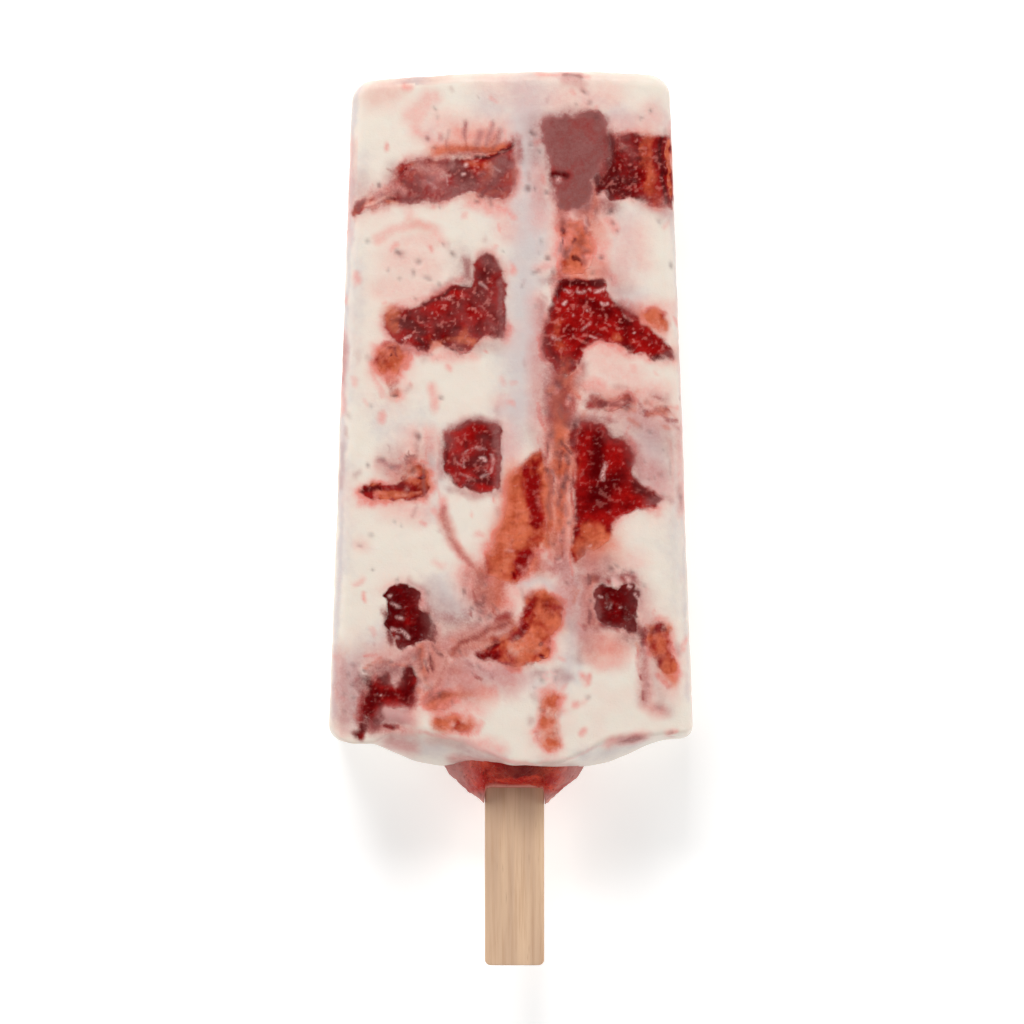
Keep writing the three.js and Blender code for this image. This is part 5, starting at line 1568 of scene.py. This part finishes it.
# %% A berry's surface
def flesh(spots, roughness, name):
    """Relief of cut fruit in mm: broad lumps, crisp crystals and bubble pits."""
    seed = seed_of(name)
    lumps = soft_noise(spots, 2.6, seed, 2)
    crystals = ridges(spots, name)
    bubbles = pits(spots, 1.3, seed + 3)
    rims = np.exp(-(((bubbles - 0.35) / 0.12) ** 2)) - 1.4 * ramp(bubbles, 0.4, 0.8)
    return roughness * (0.9 * lumps + 0.9 * (crystals - 0.6) + 0.5 * rims)


def grid_over(outline, step, margin):
    """A square grid over an outline, trimmed to a margin outside it, its edge eased onto it."""
    low = outline.min(0) - margin - step
    high = outline.max(0) + margin + step
    xs = np.arange(low[0], high[0] + step, step)
    ys = np.arange(low[1], high[1] + step, step)
    spots = np.stack(np.meshgrid(xs, ys, indexing="ij"), -1)
    inside = inside_distance(spots.reshape(-1, 2), outline).reshape(spots.shape[:2])
    slope = np.stack(np.gradient(inside, step), -1)
    slope /= np.linalg.norm(slope, axis=-1, keepdims=True) + 1e-9
    short = np.clip(-margin - inside, 0, 1.5 * step)[..., None]
    kept = inside > -margin
    cells = kept[:-1, :-1] | kept[1:, :-1] | kept[1:, 1:] | kept[:-1, 1:]
    number = np.arange(spots[..., 0].size).reshape(spots.shape[:2])
    corners = [number[:-1, :-1], number[1:, :-1], number[1:, 1:], number[:-1, 1:]]
    faces = np.stack([corner[cells] for corner in corners], -1)
    used, faces = np.unique(faces, return_inverse=True)
    return (spots + slope * short).reshape(-1, 2)[used], faces.reshape(-1, 4)


def closed_piece(top, lower, faces):
    """Top sheet and walls from its open edge: points, faces, and the rim that the floor fills."""
    count = len(top)
    ahead = {(int(a), int(b)) for face in faces for a, b in zip(face, np.roll(face, -1))}
    rim = [(a, b) for a, b in ahead if (b, a) not in ahead]
    edge = sorted({a for pair in rim for a in pair})
    place = {a: count + i for i, a in enumerate(edge)}
    walls = [(b, a, place[a], place[b]) for a, b in rim]
    floor_rim = [(place[a], place[b]) for a, b in rim]
    return np.vstack([top, lower[edge]]), [*faces.tolist(), *walls], floor_rim


# A berry's mesh, in mm: its grid's step, its margin, how deep it goes and how high it may stand.
BERRY_STEP = {"front": 0.17, "back": 0.34, "left": 0.3, "right": 0.3, "tip": 0.3}
BERRY_MARGIN = 1.1
BERRY_DEPTH = 2.2
HIGHEST = 0.05
berry_faces = 0
for name, cut in cuts.items():
    face = cut["face"]
    look = looks_of(name)
    step = BERRY_STEP[face] * 1
    spots, faces = grid_over(cut["outline"], step, BERRY_MARGIN)
    skin, out = SKINS[face](spots[:, 0], spots[:, 1])
    layers = paint(face, spots)
    depth = inside_distance(spots, cut["outline"]) + edge_noise(spots)
    relief = flesh(spots, look.roughness, name) * (1 - 0.7 * layers["veil"]) - look.sink
    level = wave(skin) + relief * ramp(depth, 0.0, 0.9) - 0.5 * ramp(-depth, -0.05, 0.45)
    level = level - 0.25 * layers["spot"] + 0.08 * layers["gleam"]
    top = skin + out * np.minimum(level, HIGHEST)[:, None]
    points, sides, floor_rim = closed_piece(top, skin - out * BERRY_DEPTH, faces)
    piece = mesh_object(name + "_flesh", to_world(points), sides, strawberry.material)
    sheet = bmesh.new()
    sheet.from_mesh(piece.data)
    sheet.edges.ensure_lookup_table()
    sheet.verts.ensure_lookup_table()
    loop = [sheet.edges.get((sheet.verts[a], sheet.verts[b])) for a, b in floor_rim]
    bmesh.ops.triangle_fill(sheet, use_beauty=True, edges=loop)
    bmesh.ops.recalc_face_normals(sheet, faces=sheet.faces)
    sheet.to_mesh(piece.data)
    sheet.free()
    piece.data.shade_smooth()
    hidden = np.zeros(len(piece.data.vertices) - len(top))
    store_layers(piece, {layer: np.append(value, hidden) for layer, value in layers.items()})
    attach(piece, "root")
    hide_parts(name)
    berry_faces += len(piece.data.polygons)
print("berry faces:", berry_faces)

# %% [markdown]
# ## The crushed fruit round the stick
#
# Pulp squeezed out round the stick froze as a low mound on the domed end. It is a frosty red
# crumb, lighter at its thin rim. Its lowest edge by the stick and a band round the stick are
# lightened as a painted highlight, and its top under the lip is darkened as painted shade.

# %% Crushed fruit
STICK_X = 0.6
COLLAR_HALF_WIDTH = 12.0
COLLAR_HALF_DEPTH = 9.6
COLLAR_BASE_Y = -37.2


def collar_reach(x, z):
    """How thick the pulp stands over the end: a low cone that climbs the stick's edges."""
    aside = np.abs(x - STICK_X)
    away = COLLAR_HALF_WIDTH * np.hypot(aside / COLLAR_HALF_WIDTH, z / COLLAR_HALF_DEPTH)
    cone = 0.3 + 0.86 * (COLLAR_HALF_WIDTH - away)
    shoulder = 3.4 - 0.3 * np.clip(np.abs(z) - 1, 0, None) + 3.2 * ramp(aside, 4.85, 5.2)
    rounding = 0.35
    return -rounding * np.log(np.exp(-cone / rounding) + np.exp(-shoulder / rounding))


mound_steps = 260
mound_rings = 70
angle = np.arange(mound_steps) / mound_steps * 2 * math.pi
scale = np.linspace(1.02, 0.02, mound_rings)[:, None]
mound_x = STICK_X + COLLAR_HALF_WIDTH * scale * np.cos(angle)
mound_z = COLLAR_HALF_DEPTH * scale * np.sin(angle)
mound_flat = np.stack([mound_x, mound_z], -1)
edge_dip = (0.9 + 1.6 * soft_noise(mound_flat, 3.0, 303, 3)) * ramp(scale, 0.86, 1.02)
crumb = 0.6 * soft_noise(mound_flat, 2.4, 301, 3) + 0.45 * soft_noise(mound_flat, 0.8, 302, 2)
thickness = collar_reach(mound_x, mound_z) - edge_dip + crumb * ramp(scale, 0.25, 0.5)
mound_y = MOUTH_Y - end_reach(mound_x, mound_z) - thickness
mound_top = np.stack([mound_x, mound_y, mound_z], -1).reshape(-1, 3)
print("pulp reaches y, mm:", mound_y.min().round(2))

# %% The mound as a piece
base_ring = np.stack([mound_x[0], np.full(mound_steps, COLLAR_BASE_Y), mound_z[0]], -1)
middles = [[STICK_X, mound_y[-1].mean(), 0], [STICK_X, COLLAR_BASE_Y, 0]]
mound_points = np.vstack([base_ring, mound_top, middles])
ring = np.arange(mound_steps)
nextto = (ring + 1) % mound_steps
mound_faces = ring_quads(mound_rings + 1, mound_steps, turned=True)
inner = mound_rings * mound_steps
mound_faces += [(inner + a, inner + b, len(mound_points) - 2) for a, b in zip(ring, nextto)]
mound_faces += [(b, a, len(mound_points) - 1) for a, b in zip(ring, nextto)]
print("mound points:", len(mound_points))

# %% The mound's finish
pulp = Recipe("crushed_fruit", Specular_IOR_Level=0.08, Coat_Weight=0.06, Coat_Roughness=0.15)
crumbs = pulp.noise(0.45, 3.0, 0.7)
lumps = pulp.noise(2.4, 3.0, 0.6)
rim = pulp.layer("rim")
wet = pulp.rise(lumps * 0.6 + crumbs * 0.4, 0.38, 0.6)
colour = pulp.blend(wet, paint_colour(228, 82, 58), paint_colour(186, 22, 17))
colour = pulp.blend(pulp.rise(crumbs, 0.54, 0.7) * 0.6, colour, paint_colour(214, 130, 118))
colour = pulp.blend((1 - pulp.rise(crumbs, 0.3, 0.44)) * 0.8, colour, paint_colour(84, 4, 8))
colour = pulp.blend(rim * (crumbs * 0.8 + 0.4), colour, paint_colour(196, 142, 136))
# Painted shade: the crevice under the lip is darkened.
colour = pulp.blend(pulp.layer("crevice") * 0.75, colour, paint_colour(70, 2, 6))
# Painted highlight: a pale band where the pulp meets the stick.
colour = pulp.blend(pulp.layer("collar") * (crumbs * 0.8 + 0.5), colour, paint_colour(232, 164, 150))
pulp.feed(
    Base_Color=colour,
    Roughness=0.45 + crumbs * 0.3,
    Normal=pulp.bump(crumbs, 0.0005),
)
mound = mesh_object("crushed_fruit_mound", to_world(mound_points), mound_faces, pulp.material)
ruffle = soft_noise(mound_flat, 2.0, 304, 3)
aside = np.abs(mound_x - STICK_X)
from_stick = np.hypot(np.clip(aside - 5, 0, None), np.clip(np.abs(mound_z) - 1, 0, None))
# The rim is pale at the pulp's thin ends, its own colour, and pale along its lowest edge by the stick as a
# painted highlight. The band round the stick is a painted highlight, and the crevice under the lip is
# painted shade.
pulp_layers = {
    "rim": np.maximum(ramp(aside + 1.8 * ruffle, 5.5, 10.0), ramp(-mound_y, 44.6, 46.6)),
    "crevice": ramp(mound_z + 1.5 * ruffle, 5.4, 7.6) * swell(mound_x, 2.2, 5.5, 2),
    "collar": np.exp(-(((from_stick - 0.8) / 0.8) ** 2)),
}
for layer, value in pulp_layers.items():
    pulp_layers[layer] = np.concatenate([np.zeros(mound_steps), value.ravel(), [0, 0]])
store_layers(mound, pulp_layers)
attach(mound, "root")
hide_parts("fruit_collar")
print("mound faces:", len(mound_faces))

# %% [markdown]
# ## The stick
#
# A flat birch stick with eased edges. Its fine fibres run along it, with a few darker pores, and
# it is a little darker where it has drunk juice near the fruit.

# %% Stick
STICK_HALF_WIDTH = 5.0
STICK_HALF_THICKNESS = 1.0
STICK_END_Y = -75.0
STICK_TOP_Y = 39.0
STICK_CORNER = 1.0
EASE = 0.28
CORNER_STEPS = 4
FACE_STEPS = 24
RING_STEP = 0.8


def stick_ring(y):
    """Points round the stick's section at y, with its corners rounded in plan and its edges eased."""
    from_end = np.minimum(y - STICK_END_Y, STICK_TOP_Y - y)
    tuck = STICK_CORNER - math.sqrt(max(0.0, STICK_CORNER**2 - max(0.0, STICK_CORNER - from_end) ** 2))
    shave = EASE - math.sqrt(max(0.0, EASE**2 - max(0.0, EASE - from_end) ** 2))
    half_w = STICK_HALF_WIDTH - tuck
    half_t = STICK_HALF_THICKNESS - shave
    points = []
    for quarter, (sx, sz) in enumerate(((1, 1), (-1, 1), (-1, -1), (1, -1))):
        for part in range(CORNER_STEPS + 1):
            turn = (quarter + part / CORNER_STEPS) * math.pi / 2
            x = sx * (half_w - EASE) + EASE * math.cos(turn)
            z = sz * (half_t - EASE) + EASE * math.sin(turn)
            points.append((STICK_X + x, y, z))
        if quarter in (0, 2):
            start_x = sx * (half_w - EASE)
            for part in range(1, FACE_STEPS):
                points.append((STICK_X + start_x * (1 - 2 * part / FACE_STEPS), y, sz * half_t))
    return points


near_ends = np.concatenate([np.linspace(0, 0.3, 7), np.linspace(0.36, 1.0, 7)])
middle = np.arange(STICK_END_Y + 1.6, STICK_TOP_Y - 1.5, RING_STEP)
stick_ys = np.concatenate([STICK_END_Y + near_ends, middle, (STICK_TOP_Y - near_ends)[::-1]])
stick_rows = np.array([stick_ring(y) for y in stick_ys])
fibre = soft_noise(stick_rows * [1 / 0.5, 1 / 14, 1 / 0.5], 1.0, 401, 2)
stick_rows[..., 2] += np.sign(stick_rows[..., 2]) * (0.03 * fibre - 0.02)
ring_count, ring_size = stick_rows.shape[:2]
ring = np.arange(ring_size)
stick_faces = ring_quads(ring_count, ring_size)
stick_faces += [ring.tolist(), ((ring_count - 1) * ring_size + ring[::-1]).tolist()]
print("rings along the stick:", ring_count)

# %% The stick's finish
wood = Recipe("birch_stick", Specular_IOR_Level=0.3)
fibres = wood.noise(0.5, 3.0, 0.6, stretch=(1, 0.02, 1))
bands = wood.rise(wood.noise(2.2, 2.0, 0.5, stretch=(1, 0.03, 1)), 0.35, 0.65)
pores = wood.rise(wood.noise(0.5, 1.0, 0.5, stretch=(1, 0.1, 1)), 0.7, 0.82)
colour = wood.blend(bands, paint_colour(225, 190, 157), paint_colour(205, 171, 143))
colour = wood.blend(wood.rise(fibres, 0.45, 0.75) * 0.45, colour, paint_colour(184, 140, 106))
colour = wood.blend(pores * 0.25, colour, paint_colour(156, 116, 88))
colour = wood.blend(wood.layer("juice"), colour, paint_colour(166, 118, 98))
wood.feed(
    Base_Color=colour,
    Roughness=0.68 + fibres * 0.15,
    Normal=wood.bump(fibres + pores * -0.5, 0.0001),
)
stick = mesh_object("birch_stick", to_world(stick_rows.reshape(-1, 3)), stick_faces, wood.material)
along_stick = stick_rows[..., 1].ravel() + soft_noise(stick_rows.reshape(-1, 3), 2.0, 402, 2) * 1.5
store_layers(stick, {"juice": 0.1 * ramp(along_stick, -52.0, -44.0)})
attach(stick, "root")
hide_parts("stick")
print("stick faces:", len(stick_faces))
